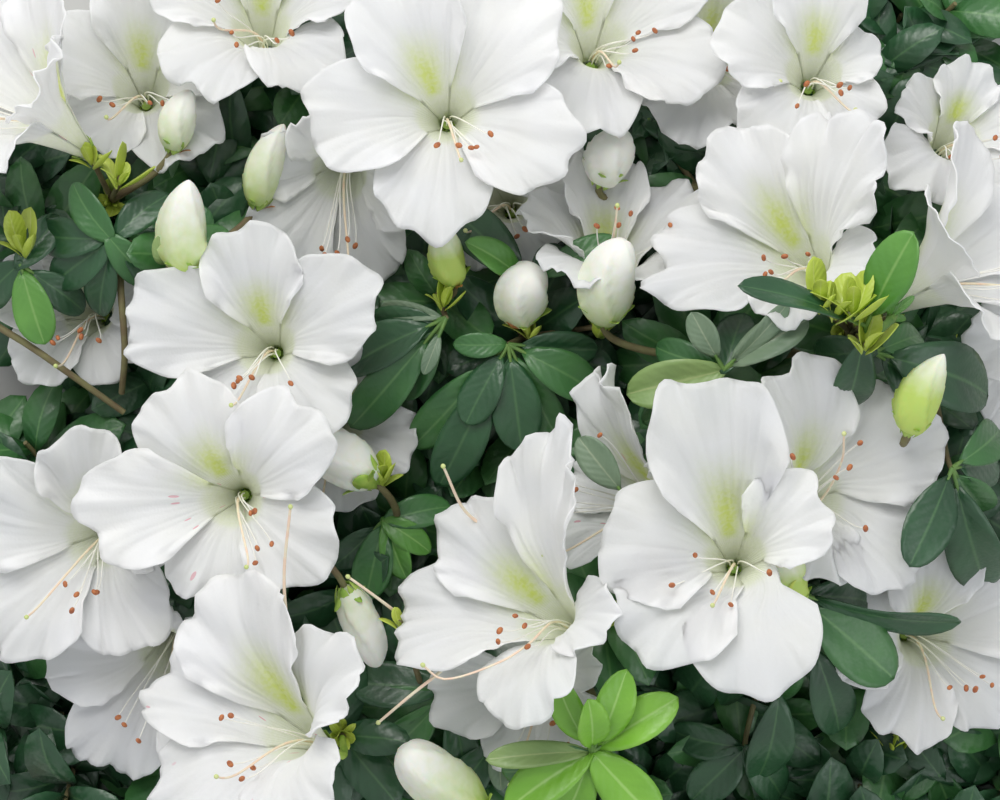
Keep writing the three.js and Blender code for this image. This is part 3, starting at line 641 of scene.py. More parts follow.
@dataclass(frozen=True)
class PetalFinish(Finish):
    """White petal tissue with a spotted yellow-green throat, fine veins and a few pink flecks."""

    name: str = "petal_white"
    white: Colour = (0.92, 0.925, 0.93)
    cream: Colour = (0.93, 0.925, 0.86)
    throat: Colour = (0.62, 0.75, 0.12)
    pink: Colour = (0.84, 0.34, 0.4)
    roughness: float = 0.55
    vein_height: float = 0.00012
    vein_turns: float = 88.0
    fleck_cells: Triple = (11.0, 6.0, 0.0)

    def paint(self, tree: Tree) -> Inputs:
        """Adds the petal's colours and veins for the shader."""
        place, uv, flecked = tree.place(), tree.uv(), tree.number("flecked")
        stipple = tree.ranged(tree.noise(place, 900.0, 0.0), 0.38, 0.62, 0.86, 1.0)
        cloud = tree.ranged(tree.noise(place, 60.0, 1.0), 0.35, 0.75, 0.0, 0.6)
        base = tree.mixed(cloud, self.white, self.cream)
        greened = tree.mixed(tree.maths(tree.number("blotch"), stipple), base, self.throat)
        warped = tree.maths(tree.split(uv)[0], tree.maths(tree.noise(uv, 4.0, 0.0), 0.06), "ADD")
        vein = tree.maths(tree.maths(warped, self.vein_turns), operation="SINE")
        height = tree.maths(tree.maths(vein, 0.5), tree.noise(place, 1500.0, 0.0), "ADD")
        return {
            "Base Color": tree.mixed(self.flecks(tree, uv, flecked), greened, self.pink),
            "Roughness": self.roughness,
            "Subsurface Weight": 0.6,
            "Subsurface Radius": (1.0, 0.97, 0.92),
            "Subsurface Scale": 0.004,
            "Specular IOR Level": 0.3,
            "Normal": tree.bump(0.35, self.vein_height, height),
        }

    def flecks(self, tree: Tree, uv: Socket, flecked: Socket) -> Socket:
        """Adds the nodes that put a short streak in a few cells of a petal.

        Args:
            tree: The material's tree.
            uv: The place on the petal.
            flecked: A number of the petal's own, or zero where it has no flecks.

        Returns:
            Where the streaks are.
        """
        own = tree.add("ShaderNodeCombineXYZ", {"X": tree.maths(flecked, 13.7), "Y": tree.maths(flecked, 7.3)})
        moved = tree.vector(tree.vector(uv, self.fleck_cells, "MULTIPLY"), own.outputs[0], "ADD")
        cells = tree.add("ShaderNodeTexVoronoi", {"Vector": moved, "Scale": 1.0}, voronoi_dimensions="2D").outputs
        chosen = tree.split(cells["Color"])
        few = tree.ranged(chosen[0], 0.95, 0.955)
        reach = tree.ranged(chosen[1], 0.0, 1.0, 0.1, 0.24)
        near = tree.maths(reach, cells["Distance"], "SUBTRACT")
        streak = tree.maths(tree.ranged(near, 0.0, 0.05), few)
        return tree.maths(streak, tree.ranged(flecked, 0.0, 0.01, 0.0, 0.8))


@dataclass(frozen=True)
class LeafFinish(Finish):
    """Glossy leaf skin with a pale midrib, side veins and a faint mottle."""

    name: str
    deep: Colour
    bright: Colour
    rib: Colour
    roughness: float = 0.34

    def paint(self, tree: Tree) -> Inputs:
        """Adds the leaf's colours and veins for the shader."""
        place, split = tree.place(), tree.split(tree.uv())
        cloud, grain = tree.noise(place, 55.0), tree.noise(place, 1100.0, 0.0)
        base = tree.mixed(tree.ranged(cloud, 0.3, 0.7), self.deep, self.bright)
        side = tree.maths(tree.maths(split[0], 0.5, "SUBTRACT"), operation="ABSOLUTE")
        slanted = tree.maths(tree.maths(split[1], 44.0), tree.maths(side, -26.0), "ADD")
        veins = tree.maths(tree.maths(slanted, tree.maths(cloud, 5.0), "ADD"), operation="SINE")
        height = tree.maths(tree.maths(veins, 0.35), tree.maths(grain, 0.8), "ADD")
        return {
            "Base Color": tree.mixed(tree.ranged(side, 0.008, 0.045, 0.6, 0.0), base, self.rib),
            "Roughness": tree.ranged(grain, 0.3, 0.7, self.roughness - 0.05, self.roughness + 0.08),
            "Specular IOR Level": 0.7,
            "Normal": tree.bump(0.4, 0.00016, height),
        }


@dataclass(frozen=True)
class MottledFinish(Finish):
    """A small soft part in two close colours with a fine grain."""

    name: str
    first: Colour
    second: Colour
    scale: float = 300.0
    roughness: float = 0.55
    bump: float = 0.0001

    def paint(self, tree: Tree) -> Inputs:
        """Adds the two colours and the grain for the shader."""
        place = tree.place()
        share = tree.ranged(tree.noise(place, self.scale), 0.35, 0.65)
        return {
            "Base Color": tree.mixed(share, self.first, self.second),
            "Roughness": self.roughness,
            "Normal": tree.bump(0.5, self.bump, tree.noise(place, 4 * self.scale)),
        }


@dataclass(frozen=True)
class BudFinish(Finish):
    """A closed bud: white at its tip and green towards its foot."""

    name: str = "bud"
    white: Colour = (0.9, 0.91, 0.84)
    green: Colour = (0.52, 0.68, 0.15)

    def paint(self, tree: Tree) -> Inputs:
        """Adds the bud's two colours for the shader."""
        cloud = tree.noise(tree.place(), 260.0)
        share = tree.ranged(tree.maths(tree.number("foot"), tree.maths(cloud, 0.5), "ADD"), 0.45, 1.35)
        return {
            "Base Color": tree.mixed(share, self.white, self.green),
            "Roughness": 0.5,
            "Subsurface Weight": 0.25,
            "Subsurface Scale": 0.002,
            "Normal": tree.bump(0.4, 0.0002, cloud),
        }


@dataclass(frozen=True)
class BarkFinish(Finish):
    """Grey-brown bark with pale flakes and fine cracks along the limb."""

    name: str = "bark"
    dark: Colour = (0.085, 0.048, 0.03)
    light: Colour = (0.24, 0.165, 0.115)
    grey: Colour = (0.33, 0.3, 0.26)

    def paint(self, tree: Tree) -> Inputs:
        """Adds the bark's colours and cracks for the shader."""
        place = tree.place()
        cloud = tree.noise(place, 120.0, 5.0)
        base = tree.mixed(tree.ranged(cloud, 0.35, 0.68), self.dark, self.light)
        flakes = tree.ranged(tree.noise(place, 330.0, 3.0), 0.6, 0.72, 0.0, 0.7)
        cracks = tree.add("ShaderNodeTexVoronoi", {"Vector": place, "Scale": 520.0}, feature="DISTANCE_TO_EDGE")
        height = tree.maths(tree.ranged(cracks.outputs[0], 0.0, 0.12), cloud, "ADD")
        return {
            "Base Color": tree.mixed(flakes, base, self.grey),
            "Roughness": 0.85,
            "Normal": tree.bump(0.8, 0.0006, height),
        }


@dataclass(frozen=True)
class CutWoodFinish(Finish):
    """The pale rings of a fresh cut."""

    name: str = "cut_wood"
    pale: Colour = (0.66, 0.54, 0.36)
    ring: Colour = (0.46, 0.33, 0.19)

    def paint(self, tree: Tree) -> Inputs:
        """Adds the rings for the shader."""
        uv = tree.uv()
        out = tree.add("ShaderNodeVectorMath", {"0": uv}, operation="LENGTH").outputs["Value"]
        waved = tree.maths(tree.maths(out, 34.0), tree.maths(tree.noise(uv, 3.0), 4.0), "ADD")
        rings = tree.ranged(tree.maths(waved, operation="SINE"), -0.2, 0.9)
        return {"Base Color": tree.mixed(rings, self.pale, self.ring), "Roughness": 0.8}


class LeafTone(Enum):
    """The colours that leaves come in, dealt out by spray. The grey one is partly painted highlight."""

    DARK = LeafFinish("leaf_dark", (0.015, 0.06, 0.024), (0.032, 0.112, 0.042), (0.08, 0.19, 0.07))
    MIDDLE = LeafFinish("leaf_middle", (0.03, 0.12, 0.034), (0.064, 0.2, 0.052), (0.14, 0.3, 0.1))
    YOUNG = LeafFinish("leaf_young", (0.145, 0.38, 0.026), (0.24, 0.53, 0.05), (0.42, 0.68, 0.2), 0.38)
    FRESH = LeafFinish("leaf_fresh", (0.07, 0.23, 0.03), (0.13, 0.34, 0.055), (0.26, 0.46, 0.13), 0.4)
    OLIVE = LeafFinish("leaf_olive", (0.17, 0.29, 0.08), (0.27, 0.39, 0.13), (0.42, 0.5, 0.22), 0.42)
    # partly the leaves' own grey-green, partly painted highlight: some grey leaves stand where leaves show a pale
    # sheen
    GREY = LeafFinish("leaf_grey", (0.12, 0.2, 0.12), (0.2, 0.28, 0.175), (0.36, 0.42, 0.28), 0.46)
    BRACT = LeafFinish("bract", (0.4, 0.54, 0.045), (0.6, 0.7, 0.11), (0.66, 0.74, 0.26), 0.45)


class BladeKind(Enum):
    """The shapes that leaves come in, by their place in the collection of blades."""

    BROAD = 0
    ARCHED = 1
    FOLDED = 2
    SLIM = 3
    LONG = 4


FILAMENT = MottledFinish("filament", (0.9, 0.88, 0.8), (0.93, 0.92, 0.88))
LEAF_STALK = MottledFinish("leaf_stalk", (0.1, 0.22, 0.05), (0.17, 0.3, 0.07))
HUSK = MottledFinish("husk", (0.6, 0.24, 0.07), (0.42, 0.17, 0.06), 500.0)
STYLE = MottledFinish("style", (0.88, 0.66, 0.5), (0.86, 0.78, 0.58))
STIGMA = MottledFinish("stigma", (0.56, 0.66, 0.22), (0.68, 0.72, 0.34))
ANTHER = MottledFinish("anther", (0.54, 0.19, 0.06), (0.34, 0.1, 0.04), 900.0)
CALYX = MottledFinish("calyx", (0.28, 0.48, 0.06), (0.44, 0.6, 0.11))
TWIG = MottledFinish("twig", (0.16, 0.12, 0.06), (0.2, 0.19, 0.08), 200.0, 0.7, 0.0003)


# Blooms


@dataclass(frozen=True)
class Lobe:
    """One of a bloom's five lobes, with its length, width and waves as shares of the usual ones."""

    share: float
    tip: float  # degrees between the facing axis and the lobe at its tip
    width: float = 1.0
    ruffle: float = 1.0
    fold: float = 0.0  # how far its sides rise towards each other, from 0 to 1
    turn: float = 0.0  # how far it stands from its even place round the tube, in degrees


@dataclass(frozen=True)
class Bloom:
    """One open flower."""

    name: str  # its node's name without the first word
    truss: str  # the shoot that it grows from
    throat: Triple  # the mouth of its tube
    facing: Triple
    blotch: float  # the direction of its spotted lobe, in degrees from +X seen from above
    lobes: tuple[Lobe, ...]  # from the spotted one on
    seed: int
    flecked: bool = False
    anthers: tuple[Triple, ...] = ()  # where its stamens end, if they have places of their own
    style: tuple[Triple, ...] = ()  # its points, if it has a course of its own

    COLUMNS = 35
    ROWS = 26
    TUBE_ROWS = 6
    HALF_WIDTH = 17.0
    OVERLAP = radians(38.5)
    WALL = 0.34

    def axes(self) -> Axes:
        """Returns the bloom's axes: towards the spotted lobe, sideways and out of the tube."""
        z = unit(self.facing)
        x = np.array((cos(radians(self.blotch)), sin(radians(self.blotch)), 0.0))
        x = unit(x - z * (x @ z))
        return x, np.cross(z, x), z

    def profile(self, share: Array, length: float, tip: float) -> tuple[Array, Array, Array]:
        """Finds the line of a lobe's middle.

        Args:
            share: How far along the lobe, from 0 to 1.
            length: The lobe's length.
            tip: Degrees at its tip.

        Returns:
            The distance from the axis, the distance along it, and the slope in radians.
        """
        bend = radians(tip) - FLARE_START
        slope = FLARE_START + bend * share
        radius = THROAT_RADIUS + length * (cos(FLARE_START) - np.cos(slope)) / bend
        along = length * (np.sin(slope) - sin(FLARE_START)) / bend
        return radius, along, slope

    def stacking(self, k: int) -> tuple[int, int]:
        """Says whether a petal lies over (1) or under (-1) the one before it and the one after it."""
        before, here, after = (self.lobes[i % 5].tip for i in (k - 1, k, k + 1))
        return (1 if here < before else -1), (-1 if after < here else 1)

    def petal(self, k: int) -> tuple[Array, Array, dict[str, Array]]:
        """Builds one petal as a sheet from the foot of the tube to the lobe's rim.

        Args:
            k: Which of the five.

        Returns:
            The grid of points, their places in the UV map, and their named numbers.
        """
        lobe = self.lobes[k]
        rng = np.random.default_rng(100 * self.seed + k)
        phase = rng.uniform(0, 2 * pi, 12)
        length = LOBE_LENGTH * lobe.share
        half = self.HALF_WIDTH * lobe.share**0.6 * lobe.width * (1 - 0.2 * lobe.fold)
        u = np.linspace(-1, 1, self.COLUMNS)[None, :]
        t = np.linspace(0, 1, self.ROWS)[:, None]
        rim = 0.6 + 0.4 * np.cos(u * pi / 2) ** 0.7
        scallops = 0.038 * np.sin(6.5 * u + phase[0]) + 0.026 * np.sin(13 * u + phase[1])
        rim = rim * (1 + max(lobe.ruffle, 0.5) * scallops)
        rim = rim - (0.02 + 0.03 * sin(phase[7]) ** 2) * np.exp(-(((u - 0.15 * sin(phase[8])) / 0.12) ** 2))
        out = length * rim * t
        foot = THROAT_RADIUS * self.OVERLAP
        side = foot * u * (1 - t**1.2) + half * np.sin(u * pi / 2) * t**1.2
        radius, along, slope = self.profile(out / length, length, lobe.tip)
        angle = radians(72 * k) + radians(lobe.turn) * smooth_step(t / 0.5) + side / radius
        over = np.where(u < 0, *self.stacking(k)) * np.abs(u)
        lift = self.relief(lobe, over, u, t, out, side, half, phase)
        radius, along = radius - lift * np.cos(slope), along + lift * np.sin(slope)
        w = np.linspace(0, 1, self.TUBE_ROWS)[:-1, None]
        tube_radius = TUBE_BASE_RADIUS + (THROAT_RADIUS - TUBE_BASE_RADIUS) * w**1.35 + 0 * u
        tube_along = -TUBE_LENGTH * (1 - w) + 0 * u
        tube_angle = radians(72 * k) + self.OVERLAP * u + 0 * w
        radius = np.vstack([tube_radius - 0.12 * over, radius])
        along, angle = np.vstack([tube_along, along]), np.vstack([tube_angle, angle])
        x, y = radius * np.cos(angle), radius * np.sin(angle)
        grid = sheet(np.asarray(self.throat, float), self.axes(), x, y, along)
        v = np.vstack([0.3 * w, 0.3 + 0.7 * t]) + 0 * u
        uv = np.stack([(u + 1) / 2 + 0 * v, v], axis=-1)
        own = 1.0 + 0.61 * k + 0.17 * self.seed if self.flecked else 0.0
        return grid, uv, {"blotch": self.spotted(k, u, t, w), "flecked": np.full(v.shape, own)}

    @staticmethod
    def relief(
        lobe: Lobe, over: Array, u: Array, t: Array, out: Array, side: Array, half: float, phase: Array
    ) -> Array:
        """Says how far the points of a lobe stand above its even curve.

        Args:
            lobe: The lobe.
            over: How far the columns lie over the neighbouring petals, below zero for under.
            u: The columns' places across it.
            t: The rows' places along it.
            out: Each point's distance from the mouth of the tube.
            side: Each point's distance from the lobe's middle.
            half: The lobe's half width.
            phase: Random angles.

        Returns:
            The height of each point.
        """
        size = min(1.0, 0.35 + 0.7 * lobe.share) * lobe.ruffle
        edge = np.clip(np.maximum(t**3.2, np.abs(u) ** 2.6 * smooth_step((t - 0.25) / 0.6)), 0, 1)
        margin = u * (1 + 0.9 * (1 - t))
        waves = 1.9 * edge**1.3 * np.sin(2 * pi * 1.9 * margin + phase[2])
        waves = waves + 0.95 * edge**1.8 * np.sin(2 * pi * 4.3 * margin + phase[3])
        waves = waves + 0.3 * edge**2.5 * np.sin(2 * pi * 8.0 * u + phase[9])
        waves = waves + 1.7 * t**1.6 * np.sin(2 * pi * 0.6 * margin + phase[4])
        crumple = 0.6 * t * np.sin(out / 3.3 + phase[5]) * np.sin(side / 3.4 + phase[6])
        pleats = 0.22 * smooth_step(t / 0.4) * np.sin(2 * pi * 5.5 * u + phase[10]) * (1 - 0.5 * t)
        rib = -0.6 * np.exp(-((side / 1.1) ** 2)) * smooth_step(t / 0.3) * (1 - t**3)
        cup = (0.07 + 0.62 * lobe.fold) * side**2 / half * smooth_step(t / 0.4)
        layer = (1.0 + 1.0 * smooth_step((t - 0.3) / 0.5)) * over * smooth_step(t / 0.22)
        calm = 1 - np.where(over < 0, 0.85, 0.4) * smooth_step((np.abs(u) - 0.4) / 0.4)
        return size * (waves * calm + crumple + pleats) + rib + cup + layer

    def spotted(self, k: int, u: Array, t: Array, w: Array) -> Array:
        """Says how yellow-green the points of a petal are.

        Args:
            k: Which of the five petals.
            u: The columns' places across it.
            t: The rows' places along the lobe.
            w: The rows' places along the tube.

        Returns:
            A share for each point.
        """
        centre, strength = {0: (0.0, 1.0), 1: (-1.0, 0.6), 4: (1.0, 0.6)}.get(k, (0.0, 0.0))
        spread = 0.62 if k == 0 else 0.5
        lobe = strength * np.exp(-(((u - centre) / spread) ** 2)) * (1 - smooth_step((t - 0.16) / 0.5))
        deep = 0.3 * (1 - smooth_step(t / 0.16)) + 0 * u
        tube = 0.3 + 0.1 * (1 - w) + 0 * u
        return np.vstack([tube, np.maximum(lobe, deep)])

    def petals(self, finish: Finish) -> Object:
        """Builds the petals as one piece that stands for the bloom's node."""
        joined = Joined()
        for k in range(len(self.lobes)):
            grid, uv, numbers = self.petal(k)
            joined.add_grid(grid, uv, numbers=numbers)
        return walled(joined.made(f"petals_{self.name}", finish.material()), self.WALL * MM)

    def at(self, turn: float, radius: float, along: float) -> Array:
        """Returns the point at a turn in degrees about the axis, a distance from it and a distance along it."""
        x, y, z = self.axes()
        return np.asarray(self.throat) + radius * turned(x, y, radians(turn)) + along * z

    def surface_above(self, points: Array) -> Array:
        """Says how far points lie in front of the bloom's sheet, seen along its axis.

        Args:
            points: The points.

        Returns:
            The distance in front of it, below zero behind it, and a large negative number beside it.
        """
        x, y, z = self.axes()
        away = np.asarray(points, float) - np.asarray(self.throat)
        along = away @ z
        angle = np.arctan2(away @ y, away @ x)
        radius = np.linalg.norm(away - along[:, None] * z, axis=1)
        lobes = [self.lobes[int(n) % 5] for n in np.rint(angle / radians(72))]
        length = np.array([LOBE_LENGTH * lobe.share for lobe in lobes])
        bend = np.array([radians(lobe.tip) for lobe in lobes]) - FLARE_START
        cosine = cos(FLARE_START) - (radius - THROAT_RADIUS) * bend / length
        slope = np.arccos(np.clip(cosine, -1, 1))
        height = length * (np.sin(slope) - sin(FLARE_START)) / bend
        tube = -TUBE_LENGTH * (1 - (radius - TUBE_BASE_RADIUS) / (THROAT_RADIUS - TUBE_BASE_RADIUS))
        height = np.where(radius < THROAT_RADIUS, tube, height)
        beside = slope > FLARE_START + bend * 1.04
        return np.where(beside, -1e3, along - height)


def lobes(*sizes: tuple[float, ...]) -> tuple[Lobe, ...]:
    """Makes five lobes from their sizes."""
    return tuple(Lobe(*size) for size in sizes)


BLOOMS = (
    Bloom("front_right", "front_right", (64, -43, 93), (-0.05, 0.25, 1), 103,
          lobes((1.38, 84, 1), (1.02, 98, 1.15, 1, 0, 3), (1.08, 104, 1.1, 1, 0, -24),
                (1.12, 106, 1.1, 0.5, 0, -40), (0.76, 78, 1.15, 1.2, 0.15, 0)), 1,
          anthers=((45.5, -48.9, 113), (51.4, -40.9, 115), (56.1, -50.8, 114), (61, -54.1, 112))),
    Bloom("front_left", "front_right", (40, -29, 76), (-0.7, 0.2, 0.68), 84,
          lobes((1.05, 64, 0.6, 1.4, 0.4), (0.5, 80), (0.75, 90, 0.9, 1.2, 0, -20),
                (0.5, 70, 0.7, 1.2, 0.3), (0.5, 60, 0.7, 1.2)), 2, flecked=True,
          anthers=((26.9, -9.4, 100), (17.5, -22.1, 98), (20.3, -24.3, 96), (17.1, -27.1, 95), (13, -30.4, 94),
                   (14.3, -29.1, 98))),
    Bloom("right", "front_right", (86, -27, 79), (0.3, 0.15, 0.92), 122,
          lobes((1.12, 80, 0.95, 1, 0, -5), (0.45, 94, 1, 1, 0, -10), (0.6, 100),
                (0.9, 100, 1, 1, 0, -22), (1, 90, 1.15, 1, 0, -10)), 3,
          anthers=((95.2, -11.4, 112), (92.8, -17.8, 110), (89.4, -20.7, 108), (77.5, -15.1, 112)),
          style=((91.5, -16, 104), (91, -9.2, 112))),
    Bloom("centre", "centre", (14, -59, 94), (-0.5, 0.35, 0.8), 133,
          lobes((0.98, 86), (1.1, 98, 1, 1, 0, -14), (0.9, 104), (0.62, 96), (1.42, 74, 0.75, 1.3, 0.4, 10)), 4,
          anthers=((0, -60.8, 113), (-0.5, -63.8, 113), (7.2, -65.3, 112), (4, -57, 113)),
          style=((7.1, -65.1, 110), (0, -69.2, 113), (-15.3, -73.6, 114), (-20, -70, 116))),
    Bloom("centre_low", "centre", (13.5, -78, 60), (-0.3, -0.25, 0.92), 110,
          lobes((0.35, 100), (0.82, 94), (0.72, 98), (0.6, 96, 1, 1, 0, -20), (0.45, 92)), 5),
    Bloom("lower_left", "lower_left", (-56, -91, 90), (-0.5, 0.35, 0.8), 105,
          lobes((1.2, 84, 1.15, 1.2, 0, 8), (1.08, 96, 1, 1, 0, -14), (1.1, 102, 1, 0.9, 0, -18),
                (0.95, 100, 1, 0.8, 0, -10), (0.88, 90, 1.2, 1.2, 0, 6)), 6, flecked=True,
          anthers=((-74.2, -84.6, 107), (-71.7, -83.9, 108), (-65.9, -97.9, 107), (-72, -96.8, 107))),
    Bloom("upper_right", "upper_right", (84, 38, 84), (-0.4, 0.35, 0.85), 122,
          lobes((1.05, 76, 1, 1.5), (1.12, 90, 1, 1.3), (0.55, 88), (0.62, 86), (1.15, 74, 1, 1.5)), 7),
    Bloom("upper_side", "upper_right", (119, 33, 84), (0.75, 0.5, 0.5), 100,
          lobes((1.1, 60, 1, 0.4), (0.9, 74, 1, 0.25), (0.9, 92, 1, 0.5), (0.9, 88, 1, 0.5),
                (0.95, 70, 1, 0.4)), 8),
    Bloom("top_centre", "top_centre", (-15, 80, 72), (0, 0.1, 1), 118,
          lobes((1.12, 92), (1.08, 98), (1.05, 100), (1.08, 96), (1.1, 94)), 9),
    Bloom("top_low", "top_centre", (-46, 66, 46), (-0.2, -0.5, 0.8), 80,
          lobes((0.75, 70), (0.6, 90), (0.85, 96), (0.8, 96), (0.8, 84)), 10),
    Bloom("top", "top", (28, 102, 50), (0.1, 0.3, 1), 110,
          lobes((1, 84), (1, 90), (1, 94), (1, 90), (1, 86)), 11),
    Bloom("top_right", "top", (62, 99, 36), (0.15, 0.2, 1), 95,
          lobes((1, 84), (0.55, 84), (0.9, 90), (0.7, 94), (0.4, 86)), 12),
    Bloom("far_right", "far_right", (89, 92, 61), (0, 0.15, 1), 90,
          lobes((0.85, 84), (0.85, 84), (0.8, 94), (0.55, 94), (0.4, 86)), 13),
    Bloom("right_top", "right_top", (132, 76, 38), (0.2, 0.3, 0.9), 80,
          lobes((0.5, 84), (0.5, 84), (0.9, 94), (0.9, 94), (0.6, 86)), 14),
    Bloom("top_left", "top_left", (-69, 107, 45), (0, 0.4, 0.9), 90,
          lobes((0.95, 84), (0.95, 90), (0.95, 94), (0.9, 90), (0.95, 86)), 15),
    Bloom("left_top", "left_top", (-126, 78, 72), (-0.6, 0.5, 0.6), 60,
          lobes((1.15, 70), (1.1, 80), (1.1, 96), (1, 92), (0.9, 66)), 16, flecked=True),
    Bloom("left_back", "left_back", (-105, 91, 34), (0.05, 0.2, 1), 90,
          lobes((0.9, 80), (0.85, 84), (0.7, 90), (0.85, 90), (0.7, 84)), 17),
    Bloom("left_mid", "left", (-66, 15, 62), (-0.1, 0.1, 1), 95,
          lobes((0.9, 88), (1.05, 92), (0.86, 102), (0.92, 100), (1.05, 90)), 18),
    Bloom("shaded", "left", (-48, -7, 41), (0.1, -0.1, 1), 60,
          lobes((0.65, 84), (0.4, 90), (0.6, 92), (0.6, 92), (0.6, 84)), 19),
    Bloom("left_low", "left_low", (-74, -27, 75), (-0.1, 0, 1), 115,
          lobes((0.98, 96), (1.1, 94), (0.78, 106), (0.95, 98), (1, 94)), 20, flecked=True),
    Bloom("left_edge", "left_edge", (-114, -39, 60), (-0.15, -0.1, 1), 85,
          lobes((0.9, 90), (1.05, 94), (1.05, 98), (0.9, 100), (0.66, 96)), 21),
    Bloom("left_under", "left_edge", (-96, -73, 42), (-0.1, -0.45, 1), 90,
          lobes((0.55, 80), (0.9, 92), (1, 96), (1, 94), (0.85, 86)), 22),
    Bloom("mid", "mid", (31, 38, 58), (0.05, 0.8, 0.6), 92,
          lobes((0.8, 56), (0.75, 76), (0.75, 96), (0.75, 96), (0.8, 76)), 23),
    Bloom("mid_back", "mid", (2, 59, 33), (-0.1, 0.2, 1), 90,
          lobes((0.85, 84), (0.5, 88), (0.65, 96), (0.6, 90), (0.7, 80)), 24),
    Bloom("right_low", "right_low", (122, -69, 46), (0.2, 0, 1), 100,
          lobes((1, 88), (1, 92), (0.82, 96), (0.8, 96), (1, 92)), 25),
    Bloom("right_edge", "right_edge", (151, 18, 46), (0.4, -0.2, 0.85), 20,
          lobes((0.9, 84), (0.8, 88), (0.75, 94), (0.8, 94), (0.9, 86)), 26),
    Bloom("left_hidden", "left_hidden", (-120, 26, 36), (-0.2, 0.1, 1), 90,
          lobes((0.6, 86), (0.65, 90), (0.65, 94), (0.6, 94), (0.6, 88)), 27),
)


# Wood


@dataclass(frozen=True)
class Limb:
    """A woody limb: points along its middle, and its radius at the first and the last."""

    name: str
    radii: Span
    path: tuple[Triple, ...]

    def line(self, step: float = 1.6) -> Array:
        """Returns its middle line in steps of about that length."""
        rough = smooth_path(self.path, 60)
        length = float(np.linalg.norm(np.diff(rough, axis=0), axis=1).sum())
        return smooth_path(self.path, max(4, round(length / step)))


LIMBS = (
    Limb("main_stem", (6.5, 3.2),
         ((-166, -146, 6.5), (-122, -114, 6.2), (-75, -78, 6.5), (-25, -45, 8), (20, -18, 11), (44, -3, 14))),
    Limb("bough_left_low", (3, 2.1), ((-122, -114, 6.2), (-108, -80, 8), (-92, -50, 13))),
    Limb("bough_lower_left", (3, 2.1), ((-98, -95, 6.3), (-78, -104, 8), (-62, -102, 13))),
    Limb("bough_left", (3.6, 2.2), ((-75, -78, 6.5), (-74, -42, 8), (-64, -8, 13))),
    Limb("bough_left_top", (2.6, 2), ((-74, -42, 8), (-88, 0, 8), (-100, 36, 14))),
    Limb("bough_top", (3.4, 2.1), ((-38, -53, 7.5), (-40, -12, 7), (-32, 26, 8), (-26, 52, 13))),
    Limb("bough_top_left", (2.4, 2), ((-36, 10, 7.4), (-50, 38, 6), (-60, 62, 11))),
    Limb("bough_centre_front", (2.8, 2.1), ((-15, -39, 8.7), (0, -58, 12), (10, -67, 20))),
    Limb("bough_centre", (2.4, 2), ((-8, -35, 9.2), (2, -14, 9), (4, 4, 13))),
    Limb("bough_mid", (2.8, 2.1), ((22, -17, 11.2), (26, 18, 8), (25, 46, 12))),
    Limb("bough_right_front", (2.6, 2.1), ((26, -14, 11.8), (40, -26, 15), (52, -31, 24))),
    Limb("bough_right", (2.9, 2.2), ((44, -3, 14), (64, 4, 17), (82, 9, 26))),
    Limb("bough_top_right", (2.4, 1.9), ((60, 2.5, 16.4), (78, 34, 8), (94, 58, 11))),
    Limb("bough_right_low", (2.8, 2), ((2, -28, 9.8), (44, -58, 5), (92, -72, 10))),
)


# Leafy twigs


@dataclass(frozen=True)
class Shoot:
    """One shoot of a mass: a twig with a whorl of leaves below its tip."""

    tip: Triple
    axis: Triple
    leaves: int = 7
    length: float = 30
    tone: LeafTone = LeafTone.DARK
    truss: str = ""


@dataclass(frozen=True)
class Mass:
    """A mass of leafy twigs that goes on from the end of a bough, of its own name unless another is given."""

    name: str
    shoots: tuple[Shoot, ...]
    bough: str = ""


DARK, MIDDLE, YOUNG = LeafTone.DARK, LeafTone.MIDDLE, LeafTone.YOUNG
FRESH, OLIVE, GREY = LeafTone.FRESH, LeafTone.OLIVE, LeafTone.GREY
BROAD, ARCHED, FOLDED = BladeKind.BROAD, BladeKind.ARCHED, BladeKind.FOLDED
SLIM, LONG = BladeKind.SLIM, BladeKind.LONG

